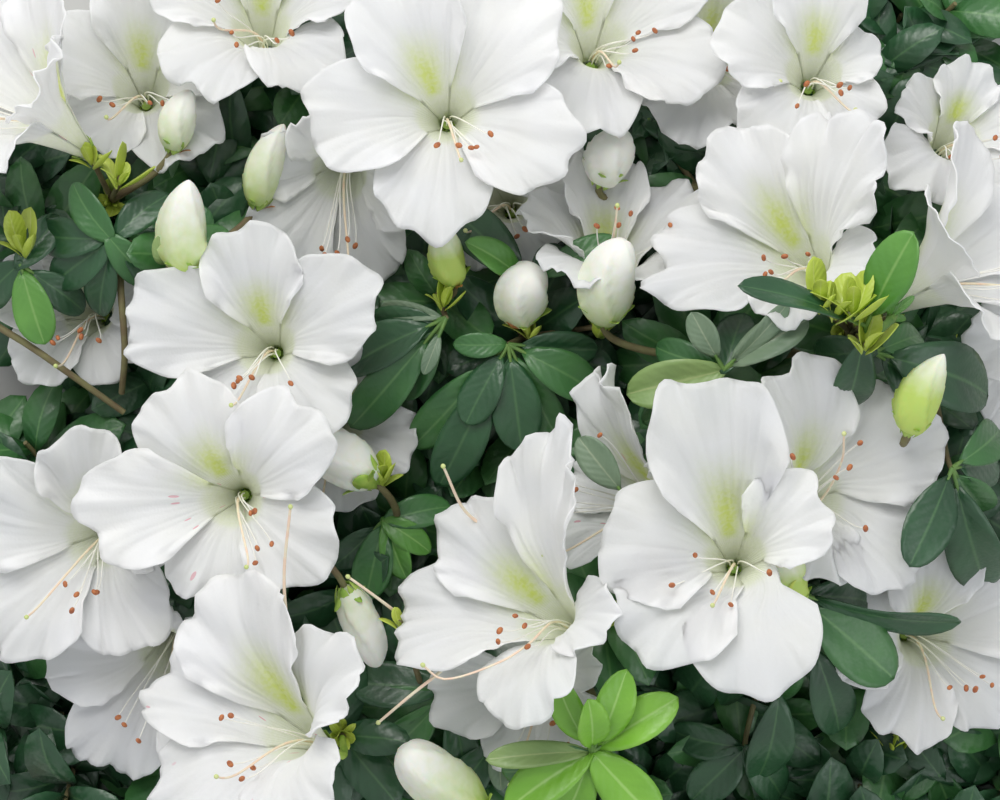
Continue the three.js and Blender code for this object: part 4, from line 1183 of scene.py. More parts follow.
MASSES = (
    Mass("right_front", (
        Shoot((66, -32, 58), (0.1, 0, 1), 8, 30, GREY, "front_right"),
        Shoot((122, -26, 50), (0.5, 0.1, 0.8), 7, 31),
        Shoot((88, -58, 50), (0.3, -0.5, 0.7), 7, 30, MIDDLE))),
    Mass("centre_front", (
        Shoot((31, -60, 58), (0.2, 0, 1), 7, 28, MIDDLE, "centre"),
        Shoot((30, -98, 72), (0.1, -0.1, 1), 0, 26, YOUNG),
        Shoot((-22, -84, 44), (-0.2, -0.2, 1), 7, 29),
        Shoot((-18, -108, 52), (0, 0.1, 1), 4, 28, MIDDLE))),
    Mass("lower_left", (
        Shoot((-45, -96, 56), (0.1, 0, 1), 7, 28, DARK, "lower_left"),
        Shoot((-92, -124, 24), (-0.3, -0.5, 0.8)),
        Shoot((-30, -128, 20), (0.4, -0.5, 0.7)))),
    Mass("upper_right", (
        Shoot((99, 19, 56), (0.1, 0.1, 1), 8, 30, MIDDLE, "upper_right"),
        Shoot((55, 12, 60), (-0.3, 0, 1), 7, 29, MIDDLE),
        Shoot((122, 4, 60), (0.3, 0.5, 0.8), 4, 30),
        Shoot((132, 16, 30), (0.9, 0.1, 0.2), truss="right_edge")), "right"),
    Mass("centre", (
        Shoot((7, 18, 50), (0, 0.1, 1), 8, 29),
        Shoot((-18, 30, 46), (-0.2, 0.2, 1), 7, 27, MIDDLE),
        Shoot((-16, 2, 34), (-0.3, -0.2, 1)),
        Shoot((24, -8, 34), (0.2, -0.3, 1)),
        Shoot((-30, -36, 34), (-0.2, -0.3, 1), 7, 30, MIDDLE))),
    Mass("top", (
        Shoot((-24, 72, 38), (0, 0.1, 1), 7, 28, DARK, "top_centre"),
        Shoot((-28, 112, 22), (0, 0.7, 0.7)))),
    Mass("top_right", (
        Shoot((96, 80, 20), (-0.1, 0.6, 0.7), truss="far_right"),
        Shoot((122, 60, 15), (0.8, -0.1, 0.5), truss="right_top"),
        Shoot((118, 104, 24), (0.4, 0.6, 0.6)))),
    Mass("mid", (
        Shoot((22, 34, 24), (0, -0.6, 0.8), 7, 28, DARK, "mid"),
        Shoot((45, 88, 11), (0.4, 0.7, 0.3), 7, 28, DARK, "top"),
        Shoot((58, 62, 40), (0.2, 0.1, 1), 7, 28, MIDDLE))),
    Mass("top_left", (
        Shoot((-70, 92, 18), (-0.1, 0.7, 0.7), 7, 29, DARK, "top_left"),
        Shoot((-91, 99, 9), (-0.8, 0.5, 0.2), truss="left_back"))),
    Mass("left_top", (
        Shoot((-112, 58, 44), (0, 0.1, 1), 7, 28, MIDDLE, "left_top"),
        Shoot((-88, 42, 56), (0.1, 0.3, 1), 5, 28, MIDDLE),
        Shoot((-136, 48, 46), (-0.4, 0.1, 1), 7, 28, MIDDLE),
        Shoot((-111, 32, 14), (-0.6, -0.7, 0.4), 7, 28, DARK, "left_hidden"))),
    Mass("left", (
        Shoot((-60, 4, 27), (0, 0, 1), 7, 28, DARK, "left"),
        Shoot((-104, 0, 30), (-0.3, 0, 1), 7, 28))),
    Mass("left_low", (
        Shoot((-72, -34, 48), (0, 0, 1), 7, 28, DARK, "left_low"),
        Shoot((-105, -48, 36), (0, 0, 1), 7, 28, DARK, "left_edge"),
        Shoot((-142, -60, 24), (-0.5, -0.2, 0.8)),
        Shoot((-134, -96, 20), (-0.4, -0.4, 0.8)))),
    Mass("right_low", (
        Shoot((116, -68, 18), (0.7, 0.3, 0.7), truss="right_low"),
        Shoot((72, -90, 36), (0, -0.3, 1)),
        Shoot((104, -108, 26), (0.1, -0.4, 0.9)),
        Shoot((144, -102, 22), (0.4, -0.3, 0.8)),
        Shoot((40, -120, 24), (-0.1, -0.4, 0.9)))),
)
EVERY_MASS = [f"leaves_{mass.name}" for mass in MASSES]


@dataclass(frozen=True)
class Spray:
    """The end of a fine twig whose leaves each have a place of their own."""

    mass: str
    foot: Triple  # where its leaves come together
    leaves: tuple[tuple[Triple, float, LeafTone, BladeKind, float], ...]  # tip, length, tone, shape, roll in degrees


SPRAYS = (
    Spray("right_front", (81.6, -53.3, 84), (
        ((110.3, -77.8, 76), 33, MIDDLE, BROAD, -12), ((127.1, -64.7, 80), 42, DARK, SLIM, 60),
        ((76.8, -89.3, 58), 38, MIDDLE, LONG, 12), ((98.9, -97.8, 54), 35, DARK, LONG, 0),
        ((75.7, -113.2, 46), 36, DARK, LONG, -8), ((56.7, -68.1, 60), 32, DARK, LONG, 0),
        ((106.4, -56, 70), 25, DARK, ARCHED, 0))),
    Spray("upper_right", (123.6, -18.6, 88), (
        ((111.7, -45, 94), 27, DARK, BROAD, -15), ((138.4, -57.3, 60), 43, DARK, LONG, 20),
        ((143, -6.7, 72), 24, MIDDLE, ARCHED, 10), ((141.9, -17.5, 66), 25, DARK, BROAD, 0),
        ((136.9, -33.9, 64), 27, MIDDLE, FOLDED, 0))),
    Spray("upper_right", (96.8, 19.6, 112), (
        ((106, 42.9, 128), 26, FRESH, BROAD, -35), ((63.4, 31.3, 128), 33, DARK, SLIM, 48),
        ((94.6, -5.5, 88), 30, DARK, LONG, 0))),
    Spray("upper_right", (101.1, 13, 96), (
        ((139.8, 2.2, 80), 38, DARK, ARCHED, 0), ((121.5, -0.5, 84), 24, DARK, BROAD, 0),
        ((84.1, 12.1, 84), 22, DARK, ARCHED, 0), ((118.2, 19.2, 84), 19, MIDDLE, ARCHED, 0))),
    Spray("upper_right", (60.9, 8.2, 92), (
        ((51.6, 23.1, 100), 15, GREY, BROAD, -20), ((78, 25.3, 100), 22, GREY, SLIM, 30),
        ((82.5, 22.1, 98), 24, GREY, FOLDED, -30), ((34.4, 1.6, 90), 28, OLIVE, FOLDED, -12),
        ((41.2, 14.3, 84), 20, MIDDLE, ARCHED, 0), ((38.7, -7.7, 80), 26, MIDDLE, LONG, 0),
        ((67.3, 26.1, 84), 22, DARK, ARCHED, 0), ((44.2, -5, 80), 21, MIDDLE, ARCHED, 0))),
    Spray("upper_right", (105.5, 22.3, 92), (
        ((108.4, 32.4, 98), 10, FRESH, SLIM, 0), ((112.3, 28.2, 94), 9, FRESH, SLIM, 0),
        ((111.5, 22.4, 88), 8, FRESH, SLIM, 0), ((106.3, 29.1, 98), 9, FRESH, SLIM, 20))),
    Spray("right_front", (33.7, -25.6, 92), (
        ((21.2, -10.3, 92), 18, GREY, BROAD, -15),)),
    Spray("centre_front", (25, -95.7, 92), (
        ((13.8, -74.5, 108), 25, YOUNG, LONG, -18), ((33.5, -75.3, 108), 23, YOUNG, ARCHED, 20),
        ((46.7, -80.2, 102), 26, YOUNG, FOLDED, -25), ((43, -115.3, 92), 27, YOUNG, BROAD, 0),
        ((0.8, -110.9, 92), 29, YOUNG, FOLDED, 15), ((-3.5, -96.5, 96), 28, OLIVE, SLIM, 30),
        ((24.4, -81.2, 110), 20, YOUNG, FOLDED, 10), ((0, -103.9, 88), 26, MIDDLE, ARCHED, 0),
        ((16.5, -119.3, 84), 24, YOUNG, ARCHED, 0))),
    Spray("centre_front", (30.9, -92.6, 80), (
        ((36.1, -82, 88), 9, GREY, LONG, 0),)),
    Spray("centre", (-15.2, 23.1, 66), (
        ((-46.2, 9.1, 56), 30, DARK, FOLDED, 14), ((-21.3, 7.3, 68), 12, GREY, LONG, 0),
        # the short grey leaf is painted highlight: its pale grey-green stands for a sheen on the leaf
        ((-43.3, -9.1, 56), 35, MIDDLE, LONG, 0), ((-34.7, 26.7, 58), 20, GREY, SLIM, 8),
        ((-40, 20, 54), 24, DARK, ARCHED, 0), ((-29.2, 0, 54), 25, MIDDLE, FOLDED, 0))),
    Spray("centre", (2.3, 15.8, 62), (
        ((-17.8, -26.4, 50), 37, DARK, LONG, 0), ((-10.2, -6.8, 60), 22, DARK, BROAD, 8),
        ((6.3, -14.8, 58), 27, DARK, BROAD, -6), ((29.5, 1.7, 60), 26, MIDDLE, ARCHED, 0),
        ((-12.4, 15.2, 66), 15, MIDDLE, ARCHED, 0), ((17.8, -13.8, 52), 30, MIDDLE, LONG, 6),
        ((28.5, 13.7, 56), 23, DARK, FOLDED, 0), ((-25.9, -14.9, 50), 34, MIDDLE, LONG, 0))),
    Spray("centre", (8.5, 32.8, 62), (
        ((-13.3, 54.7, 61), 27, DARK, BROAD, 10), ((31.8, 46.4, 66), 23, MIDDLE, LONG, -10),
        ((-8.1, 44.6, 74), 20, FRESH, FOLDED, 20), ((17.1, 45.5, 58), 15, DARK, ARCHED, 0))),
    Spray("centre", (13.9, -14.4, 46), (
        ((0, -37.8, 40), 24, DARK, BROAD, 0), ((17.5, -37.8, 40), 24, DARK, ARCHED, 0),
        ((30.6, -21.4, 46), 22, DARK, BROAD, 0), ((34.6, -8.6, 48), 20, MIDDLE, FOLDED, 0))),
    Spray("centre", (-33.4, -34.6, 48), (
        ((-20.1, -43.1, 50), 17, FRESH, ARCHED, 0), ((-38.9, -57.6, 48), 22, MIDDLE, BROAD, 0),
        ((-14.4, -30, 48), 20, MIDDLE, ARCHED, 0), ((-49.2, -49.8, 44), 19, DARK, ARCHED, 0),
        ((-27.4, -51.9, 48), 18, FRESH, FOLDED, 0))),
    Spray("centre_front", (-13.7, -82.7, 56), (
        ((-42.9, -80.6, 54), 26, DARK, BROAD, 12), ((-42, -90.8, 50), 26, MIDDLE, ARCHED, -8),
        ((-39.9, -109.8, 46), 34, MIDDLE, LONG, -10), ((-8.6, -115.8, 48), 30, DARK, LONG, 5),
        ((-22.9, -71.7, 52), 16, DARK, ARCHED, 0))),
    Spray("centre_front", (0, -95.8, 54), (
        ((-15.6, -117, 48), 24, DARK, ARCHED, 0), ((5.7, -115.5, 50), 24, DARK, BROAD, 0),
        ((12.9, -106.4, 54), 18, MIDDLE, ARCHED, 0), ((0, -110.9, 58), 14, GREY, FOLDED, 0))),
    Spray("right_front", (70.8, -100.5, 46), (
        ((55.3, -117, 40), 24, DARK, BROAD, 0), ((84.6, -117.3, 38), 24, DARK, ARCHED, 0),
        ((48.9, -97.5, 40), 22, DARK, ARCHED, 0))),
    Spray("right_low", (127.6, -108.5, 34), (
        ((108.5, -115.5, 30), 24, MIDDLE, BROAD, 0), ((148, -106.1, 30), 24, DARK, BROAD, 0),
        ((116.7, -94.4, 34), 22, DARK, ARCHED, 0), ((135.9, -127.6, 28), 22, MIDDLE, BROAD, 0))),
    Spray("left_top", (-109.2, 45, 66), (
        ((-133.9, 46.5, 60), 24, DARK, ARCHED, 0), ((-128, 33, 58), 24, DARK, BROAD, 0),
        ((-98.5, 32, 62), 20, MIDDLE, ARCHED, 10), ((-86.1, 29.1, 56), 26, DARK, BROAD, 0),
        ((-121, 59.4, 70), 20, MIDDLE, ARCHED, -10), ((-94.3, 59.3, 64), 20, DARK, ARCHED, 0),
        ((-115.2, 23.4, 56), 21, DARK, FOLDED, 0))),
    Spray("left_top", (-135.8, 38.5, 62), (
        ((-129.6, 15.6, 60), 22, FRESH, BROAD, 0), ((-151.9, 25.8, 52), 24, DARK, ARCHED, 0),
        ((-117.8, 25.2, 54), 20, DARK, ARCHED, 0), ((-124.8, 52.5, 60), 20, DARK, FOLDED, 0))),
    Spray("left_top", (-93.2, 37.6, 68), (
        ((-94.8, 43.2, 78), 11, OLIVE, ARCHED, 0), ((-77.1, 49, 66), 18, MIDDLE, ARCHED, 0))),
    Spray("mid", (32.1, 45.9, 52), (
        ((13, 58.3, 46), 20, DARK, BROAD, 0), ((23, 28.7, 50), 18, DARK, ARCHED, 0))),
    Spray("mid", (43.5, 81.3, 42), (
        ((22.1, 79.2, 40), 24, DARK, BROAD, 0), ((29.2, 96.9, 38), 20, MIDDLE, ARCHED, 0),
        ((65.6, 76.9, 42), 26, DARK, BROAD, 0), ((40.9, 99.8, 38), 20, DARK, ARCHED, 0))),
    Spray("top_right", (119.7, 99.7, 34), (
        ((105.8, 111.7, 32), 24, DARK, BROAD, 0), ((135.2, 111.7, 32), 24, DARK, ARCHED, 0),
        ((138.2, 94.1, 32), 22, DARK, BROAD, 0), ((114.4, 85, 34), 20, MIDDLE, ARCHED, 0),
        ((102.6, 96.8, 34), 20, DARK, FOLDED, 0))),
    Spray("left_low", (-128.1, -55.3, 40), (
        ((-142.6, -46.6, 40), 20, DARK, BROAD, 0), ((-140.1, -70, 38), 22, DARK, ARCHED, 0),
        ((-113.5, -58.2, 40), 20, DARK, ARCHED, 0))),
)


BARE_TWIGS = (
    ((-164, 44, 34), (-152, 27, 50), (-132, 14, 56), (-108, -3.6, 50)),
    ((-110, 52, 44), (-108, 34, 58), (-107, 14, 56), (-109, 2, 48)),
)


GREEN_TWIG = ((98.7, 16.2, 102), (102.5, 19, 99), (106.8, 22.4, 92), (107.5, 24.5, 84))


@dataclass(frozen=True)
class Tuft:
    """A tuft of yellow-green bracts round the foot of a truss, with its bracts' number and size."""

    mass: str
    place: Triple
    count: int
    size: float


TUFTS = (
    Tuft("centre_front", (-27.4, -60.9, 86), 5, 6),
    Tuft("upper_right", (84.2, 25.8, 116), 6, 12),
    Tuft("upper_right", (88.4, 23.1, 116), 5, 11),
    Tuft("upper_right", (92.6, 24.1, 118), 5, 12),
    Tuft("upper_right", (96.8, 14.8, 112), 6, 11),
    Tuft("left_top", (-106.7, 62.3, 68), 6, 11),
    Tuft("left_top", (-115.4, 68.1, 66), 5, 9),
    Tuft("mid", (21.7, 89, 46), 6, 11),
    Tuft("left", (-34, -22.1, 62), 9, 10),
    Tuft("top_right", (135.1, 58.9, 50), 8, 9),
    Tuft("left_top", (-134.9, 42.9, 64), 6, 11),
    Tuft("mid", (75.7, 78, 46), 8, 9),
    Tuft("centre", (28.4, 21, 60), 8, 9),
    Tuft("centre", (-15.8, 28.1, 66), 6, 8),
    Tuft("centre", (7.9, 19.9, 60), 6, 7),
    Tuft("right_low", (115, -100.4, 40), 6, 8),
    Tuft("right_front", (77.8, -50.3, 92), 6, 7),
)


@dataclass(frozen=True)
class Blade:
    """The shape of a leaf that is one unit long, as a grid of rows and columns of points."""

    name: str
    half: float  # its half width
    fold: float  # the rise of its edges as a share of their distance from the midrib
    droop: float  # the fall of its tip
    wave: float  # the height of its edges' waves as a share of the half width
    twist: float = 0.0  # how far its tip is turned about its length, in degrees
    rows: int = 7
    columns: int = 3

    WALL = 0.012  # as a share of its length

    def surface(self) -> tuple[Array, Array]:
        """Returns the blade's grid of points along +Y, upper side up, and their places in the UV map."""
        t = 1 - (1 - np.linspace(0, 1, self.rows)[:, None]) ** 1.35
        u = np.linspace(-1, 1, self.columns)[None, :]
        outline = t**0.8 * (1 - t) ** 0.56
        width = self.half * (outline / 0.396 + 0.1 * (1 - t) ** 2 + 0.01)
        x = u * width
        z = self.fold * np.abs(x) * (1 - 0.35 * np.abs(u)) - self.droop * t**2
        z = z + 0.3 * self.droop * np.sin(pi * t)
        z = z + self.wave * self.half * np.abs(u) ** 2 * np.sin(7.5 * t + 1.5 * u)
        angle = radians(self.twist) * t
        turned_x, turned_z = x * np.cos(angle) - z * np.sin(angle), x * np.sin(angle) + z * np.cos(angle)
        places = np.stack([(u + 1) / 2 + 0 * t, t + 0 * u], axis=-1)
        return np.stack([turned_x, t + 0 * u, turned_z], axis=-1), places

    def made(self) -> Object:
        """Builds the blade as an object with a thin wall."""
        joined = Joined()
        joined.add_grid(*self.surface())
        return walled(joined.made(self.name, local=True), self.WALL)


class LeafShapes:
    """The small shapes that leaves, scales, anthers and stigmas are grown from."""

    BLADES = (
        Blade("blade_a_broad", 0.255, 0.2, 0.08, 0.12, -6.0),
        Blade("blade_b_arched", 0.235, 0.26, 0.24, 0.08, 12.0),
        Blade("blade_c_folded", 0.225, 0.5, 0.12, -0.1, -14.0),
        Blade("blade_d_slim", 0.135, 0.35, 0.1, 0.12, 8.0),
        Blade("blade_e_long", 0.18, 0.3, 0.16, 0.1, 6.0),
    )
    SCALES = (
        Blade("scale_a_wide", 0.27, 0.45, -0.12, 0.0),
        Blade("scale_b_slim", 0.17, 0.4, 0.15, 0.0),
    )
    FINE_ROWS, FINE_COLUMNS = 12, 9
    BEAD_ROWS, BEAD_COLUMNS = 6, 8
    BEAD_END = 0.08  # the angle between a bead's end and its first row

    def __init__(self) -> None:
        """Builds the shapes in collections of their own."""
        fine = [
            replace(blade, name=f"fine_{blade.name}", rows=self.FINE_ROWS, columns=self.FINE_COLUMNS)
            for blade in self.BLADES
        ]
        self.blades = self._collection("leaf_blades", [blade.made() for blade in self.BLADES])
        self.fine_blades = self._collection("fine_leaf_blades", [blade.made() for blade in fine])
        self.scales = self._collection("bract_scales", [scale.made() for scale in self.SCALES])
        self.anthers = self._collection("anther_lobes", [self._bead("anther_lobe", 0.34)])
        self.stigmas = self._collection("stigma_heads", [self._bead("stigma_head", 0.46)])

    @staticmethod
    def _collection(name: str, members: Iterable[Object]) -> Collection:
        """Puts shapes into a collection of that name, linked to the scene."""
        made = bpy.data.collections.new(name)
        bpy.context.scene.collection.children.link(made)
        for member in members:
            bpy.context.scene.collection.objects.unlink(member)
            made.objects.link(member)
        return made

    def _bead(self, name: str, half: float) -> Object:
        """Builds a small closed bead along +Y, as wide as twice half its length."""
        polar = np.linspace(self.BEAD_END, pi - self.BEAD_END, self.BEAD_ROWS)[:, None]
        turn = ring(self.BEAD_COLUMNS)
        x, z = half * np.sin(polar) * np.cos(turn), -half * np.sin(polar) * np.sin(turn)
        joined = Joined()
        joined.add_grid(np.stack([x, 0.5 - 0.5 * np.cos(polar) + 0 * turn, z], axis=-1), wrapped=True)
        return joined.made(name, local=True, mapped=False)

    def cleared(self) -> None:
        """Removes the shapes, once everything is grown."""
        for group in (self.blades, self.fine_blades, self.scales, self.anthers, self.stigmas):
            for member in list(group.objects):
                bpy.data.objects.remove(member)
            bpy.data.collections.remove(group)


@dataclass
class Foliage:
    """Grows the twigs, leaves and bracts of every mass."""

    stem_radius: float = 2.0
    twig_root: float = 1.9
    twig_tip: float = 1.1
    spray_radii: Span = (1.0, 0.75)
    tuft_radii: Span = (0.9, 0.75)
    bare_radii: Span = (1.15, 0.9)
    green_radii: Span = (1.0, 1.5)
    filler_radii: Span = (1.0, 0.7)
    leaf_stalk_radii: Span = (0.7, 0.5)
    stem_length: float = 8.0
    whorl_start: float = 2.0
    whorl_length: float = 12.8
    lowest_lean: float = 88.0
    highest_lean: float = 42.0
    tries: int = 8
    filler_step: float = 21.0
    filler_levels: Span = (13.0, 30.0)
    filler_leaves: int = 8
    filler_length: float = 30.0
    filler_reach: float = 75.0
    filler_clearance: float = 1.5
    clearance: float = 2.2
    first_seed: int = 11
    tuft_seed: int = 3
    filler_seed: int = 5
    leaves: dict[tuple[LeafTone, bool], Sprouts] = field(default_factory=dict)
    used: dict[tuple[LeafTone, bool], set[str]] = field(default_factory=dict)
    twigs: Paths = field(default_factory=Paths)
    leaf_stalks: Paths = field(default_factory=Paths)
    bracts: Sprouts = field(default_factory=Sprouts)
    lines: dict[str, list[Array]] = field(default_factory=dict)

    def stem(self, mass: Mass) -> tuple[Array, Array, Array]:
        """Returns the start of a mass's stem, its fork and its direction."""
        path = next(limb.path for limb in LIMBS if limb.name == f"bough_{mass.bough or mass.name}")
        before, end = (np.asarray(p, float) for p in path[-2:])
        along = unit(end - before)
        return end, end + along * self.stem_length, along

    def twig_line(self, mass: Mass, shoot: Shoot) -> Array:
        """Returns the middle line of a shoot, from the fork of its mass's stem to its tip."""
        _, fork, along = self.stem(mass)
        tip = np.asarray(shoot.tip, float)
        rise = float(np.linalg.norm(tip - fork))
        late = tip - unit(shoot.axis) * 0.28 * rise
        late[2] = max(late[2], 2 * self.twig_root)
        early = fork + (tip - fork) * 0.25 + along * 0.2 * rise
        return smooth_path([fork - 2 * along, early, late, tip], 26)

    def fits(self, points: Array, clearance: float) -> bool:
        """Says whether a leaf keeps behind the blooms, off the floor and inside the part's box."""
        if points[:, 2].min() < FLOOR_CLEARANCE:
            return False
        low, high = layout_box(CAD_BOX)
        if (points < low - BOX_MARGIN).any() or (points > high + BOX_MARGIN).any():
            return False
        return all((bloom.surface_above(points) < -clearance).all() for bloom in BLOOMS)

    def whorl(self, mass: Mass, line: Array, shoot: Shoot, rng: random.Random, clearance: float) -> int:
        """Grows the leaves near the tip of one twig.

        Args:
            mass: The mass that the twig belongs to.
            line: The twig's middle line.
            shoot: The shoot.
            rng: The source of random numbers.
            clearance: What a leaf keeps between itself and the blooms.

        Returns:
            How many leaves found room.
        """
        axis = unit(shoot.axis)
        side, other = across(axis)
        lengths = lengths_along(line)
        turn = rng.uniform(0, 2 * pi)
        grown = 0
        for i in range(shoot.leaves):
            share = i / shoot.leaves
            back = self.whorl_start + self.whorl_length * (1 - share)
            base = points_at(line, lengths, max(lengths[-1] - back, lengths[-1] * 0.3))
            for attempt in range(self.tries):
                lean = radians(
                    self.lowest_lean * (1 - share) + self.highest_lean * share
                    + rng.uniform(-9, 9) + 7 * (attempt // 3)
                )
                angle = turn + i * GOLDEN_ANGLE + (attempt % 3 - 1) * 0.45 * min(attempt, 1)
                direction = turned(axis, turned(side, other, angle), lean)
                size = shoot.length * rng.uniform(0.84, 1.14) * (1 - 0.22 * share) * (0.8 if attempt > 4 else 1)
                beside = unit(np.cross(direction, axis))
                samples = np.array([
                    *(base + direction * size * reach for reach in (0.45, 0.75)), base + direction * size,
                    base + direction * size * 0.6 + beside * size * 0.2,
                    base + direction * size * 0.6 - beside * size * 0.2,
                ])
                if self.fits(samples, clearance):
                    upwards = axis + np.array((0, 0, 0.35)) + beside * rng.uniform(-0.35, 0.35)
                    kind = rng.choice((BROAD, BROAD, ARCHED, ARCHED, FOLDED))
                    self.leaf(mass.name, shoot.tone, base, direction, upwards, size, kind)
                    grown += 1
                    break
        return grown

    def leaf(
        self, mass: str, tone: LeafTone, base: Array, direction: Array, up: Array, size: float, kind: BladeKind,
        fine: bool = False,
    ) -> None:
        """Adds one leaf and notes which mass it is in.

        Args:
            mass: The mass's name without the first word.
            tone: The leaf's colour.
            base: The foot of the blade.
            direction: Where it points.
            up: Where its upper side faces.
            size: Its length.
            kind: Its shape.
            fine: Whether it is made of smaller faces.
        """
        self.leaves.setdefault((tone, fine), Sprouts()).add(base, direction, up, size, kind.value)
        self.used.setdefault((tone, fine), set()).add(f"leaves_{mass}")

    def side_line(self, mass: str, foot: Array) -> Array:
        """Returns a line from the nearest twig of a mass to a place, mostly from below."""
        root = nearest_root(self.lines[mass], foot)
        rise = np.array((0, 0, 0.35 * float(np.linalg.norm(foot - root))))
        return bent_line([root, root + rise, foot - rise, foot], 14)

    def spray(self, spray: Spray) -> None:
        """Grows a fine twig to a spray's foot, and the spray's leaves."""
        foot = np.asarray(spray.foot, float)
        self.twigs.add(self.side_line(spray.mass, foot), *self.spray_radii)
        for place, size, tone, kind, roll in spray.leaves:
            tip = np.asarray(place, float)
            direction = unit(tip - foot)
            base = tip - direction * size
            if float(np.linalg.norm(tip - foot)) > size + 1.5:
                self.leaf_stalks.add(np.linspace(foot, base + direction, 4), *self.leaf_stalk_radii)
            beside = unit(np.cross(direction, (0, 0, 1)))
            upwards = turned(np.cross(beside, direction), beside, radians(roll))
            self.leaf(spray.mass, tone, base, direction, upwards, size, kind, True)

    def tuft(self, tuft: Tuft, rng: random.Random) -> None:
        """Grows a tuft of bracts at the end of a fine twig."""
        place = np.asarray(tuft.place, float)
        self.twigs.add(self.side_line(tuft.mass, place), *self.tuft_radii)
        axis = unit((rng.uniform(-0.35, 0.35), rng.uniform(0.7, 1.0), rng.uniform(0.25, 0.5)))
        self.knob(place, axis, rng, tuft.count, tuft.size)

    def knob(self, tip: Array, axis: Array, rng: random.Random, count: int = 11, size: float = 7.0) -> None:
        """Grows the scales round the tip of a twig that carries flower stalks or a bud.

        Args:
            tip: The twig's tip.
            axis: Where it points.
            rng: The source of random numbers.
            count: How many scales there are.
            size: Their usual length.
        """
        side, other = across(axis)
        for i in range(count):
            outwards = turned(side, other, i * GOLDEN_ANGLE)
            direction = turned(axis, outwards, radians(14 + 46 * i / count + rng.uniform(-8, 8)))
            base = tip - axis * (1.5 + 2.5 * i / count) + outwards * 0.6
            self.bracts.add(base, direction, axis - outwards * 0.4, size * rng.uniform(0.6, 1.2), i % 2)

    def grow(self) -> None:
        """Grows every mass, and then the finer twigs between them."""
        for seed, mass in enumerate(MASSES, self.first_seed):
            rng = random.Random(seed)
            start, fork, _ = self.stem(mass)
            self.twigs.add(np.linspace(start, fork, 6), self.stem_radius, self.twig_root)
            for shoot in mass.shoots:
                line = self.twig_line(mass, shoot)
                self.lines.setdefault(mass.name, []).append(line)
                self.twigs.add(line, self.twig_root, self.twig_tip)
                self.whorl(mass, line, shoot, rng, self.clearance)
                if shoot.truss:
                    self.knob(np.asarray(shoot.tip, float), unit(shoot.axis), rng)
        for spray in SPRAYS:
            self.spray(spray)
        for points in BARE_TWIGS:
            self.twigs.add(smooth_path(points, 14), *self.bare_radii)
        self.leaf_stalks.add(smooth_path(GREEN_TWIG, 12), *self.green_radii)
        rng = random.Random(self.tuft_seed)
        for tuft in TUFTS:
            self.tuft(tuft, rng)
        self.fill()

    def fill(self) -> None:
        """Grows finer side twigs with whorls wherever a mass reaches and the blooms leave room."""
        rng = random.Random(self.filler_seed)
        boxes = {mass.name: layout_box(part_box(f"leaves_{mass.name}")) for mass in MASSES}
        low, high = layout_box(CAD_BOX)
        step = self.filler_step
        for row, y in enumerate(np.arange(low[1] + 14, high[1] - 12, step)):
            for x in np.arange(low[0] + 14 + (row % 2) * step / 2, high[0] - 12, step):
                for level in self.filler_levels:
                    spot = np.array((x + rng.uniform(-6, 6), y + rng.uniform(-6, 6), level + rng.uniform(-4, 5)))
                    self.side_twig(spot, boxes, rng)

    def side_twig(self, tip: Array, boxes: dict[str, tuple[Array, Array]], rng: random.Random) -> None:
        """Grows one fine twig from the nearest twig of a mass that reaches the spot, with its whorl."""
        best: tuple[float, Mass, Array] | None = None
        for mass in MASSES:
            low, high = boxes[mass.name]
            if (tip[:2] < low[:2] - 2).any() or (tip[:2] > high[:2] + 2).any():
                continue
            for line in self.lines[mass.name]:
                for point in line[3:-6:3]:
                    distance = float(np.linalg.norm(point - tip)) + 1.5 * max(0.0, float(point[2] - tip[2]))
                    if best is None or distance < best[0]:
                        best = (distance, mass, point)
        if best is None or best[0] > self.filler_reach or not self.fits(tip[None, :], 9.0):
            return
        _, mass, root = best
        outwards = tip - root
        axis = unit(np.array((0.35 * outwards[0], 0.35 * outwards[1], 22.0)))
        bend = tip - axis * 9
        bend[2] = max(bend[2], 2.5)
        line = bent_line([root, root + unit(outwards) * 6, bend, tip], 12)
        if line[:, 2].min() < 1.2:
            return
        # mostly the dark tone: the low leaves' deep green is partly their own and partly painted shade for the deep
        # foliage
        tone = rng.choice((DARK, DARK, DARK, MIDDLE))
        shoot = Shoot(tuple(tip), tuple(axis), self.filler_leaves, self.filler_length, tone)
        if self.whorl(mass, line, shoot, rng, self.filler_clearance) > 1:
            self.twigs.add(line, *self.filler_radii)

    def place(self, growth: Growth, shapes: LeafShapes) -> None:
        """Makes the leaves, twigs and bracts and places them."""
        made = []
        for (tone, fine), sprouts in self.leaves.items():
            material = tone.value.material()
            name = tone.value.name.replace("leaf", "front_leaves" if fine else "leaves")
            kinds = shapes.fine_blades if fine else shapes.blades
            piece = sprouts.grown(name, growth, kinds, material, 0.0 if fine else 0.04)
            made.append((piece, sorted(self.used[tone, fine])))
        made.append((self.twigs.grown("twigs", growth, 8, TWIG.material()), EVERY_MASS))
        made.append((self.leaf_stalks.grown("leaf_stalks", growth, 6, LEAF_STALK.material()), EVERY_MASS))
        bract = LeafTone.BRACT.value.material()
        made.append((self.bracts.grown("bud_scales", growth, shapes.scales, bract, 0.1), EVERY_MASS))
        for piece, nodes in made:
            placed(piece, nodes)


LOOSE_STYLES = (
    ((-56, -72, 86), (-57.8, -57, 97), (-57.8, -46, 103), (-55.5, -28.9, 112)),
    ((1.4, -39.9, 84), (-4, -35, 90), (-9.7, -29.7, 96), (-14.9, -18.1, 108)),
    ((-27.1, -60.2, 80), (-28.6, -58.3, 84), (-34.9, -52.9, 90), (-40.7, -48.3, 94)),
    ((-8, -66, 90), (-16.1, -73.2, 99), (-23.8, -79.4, 98), (-32.6, -87.3, 92)),
)


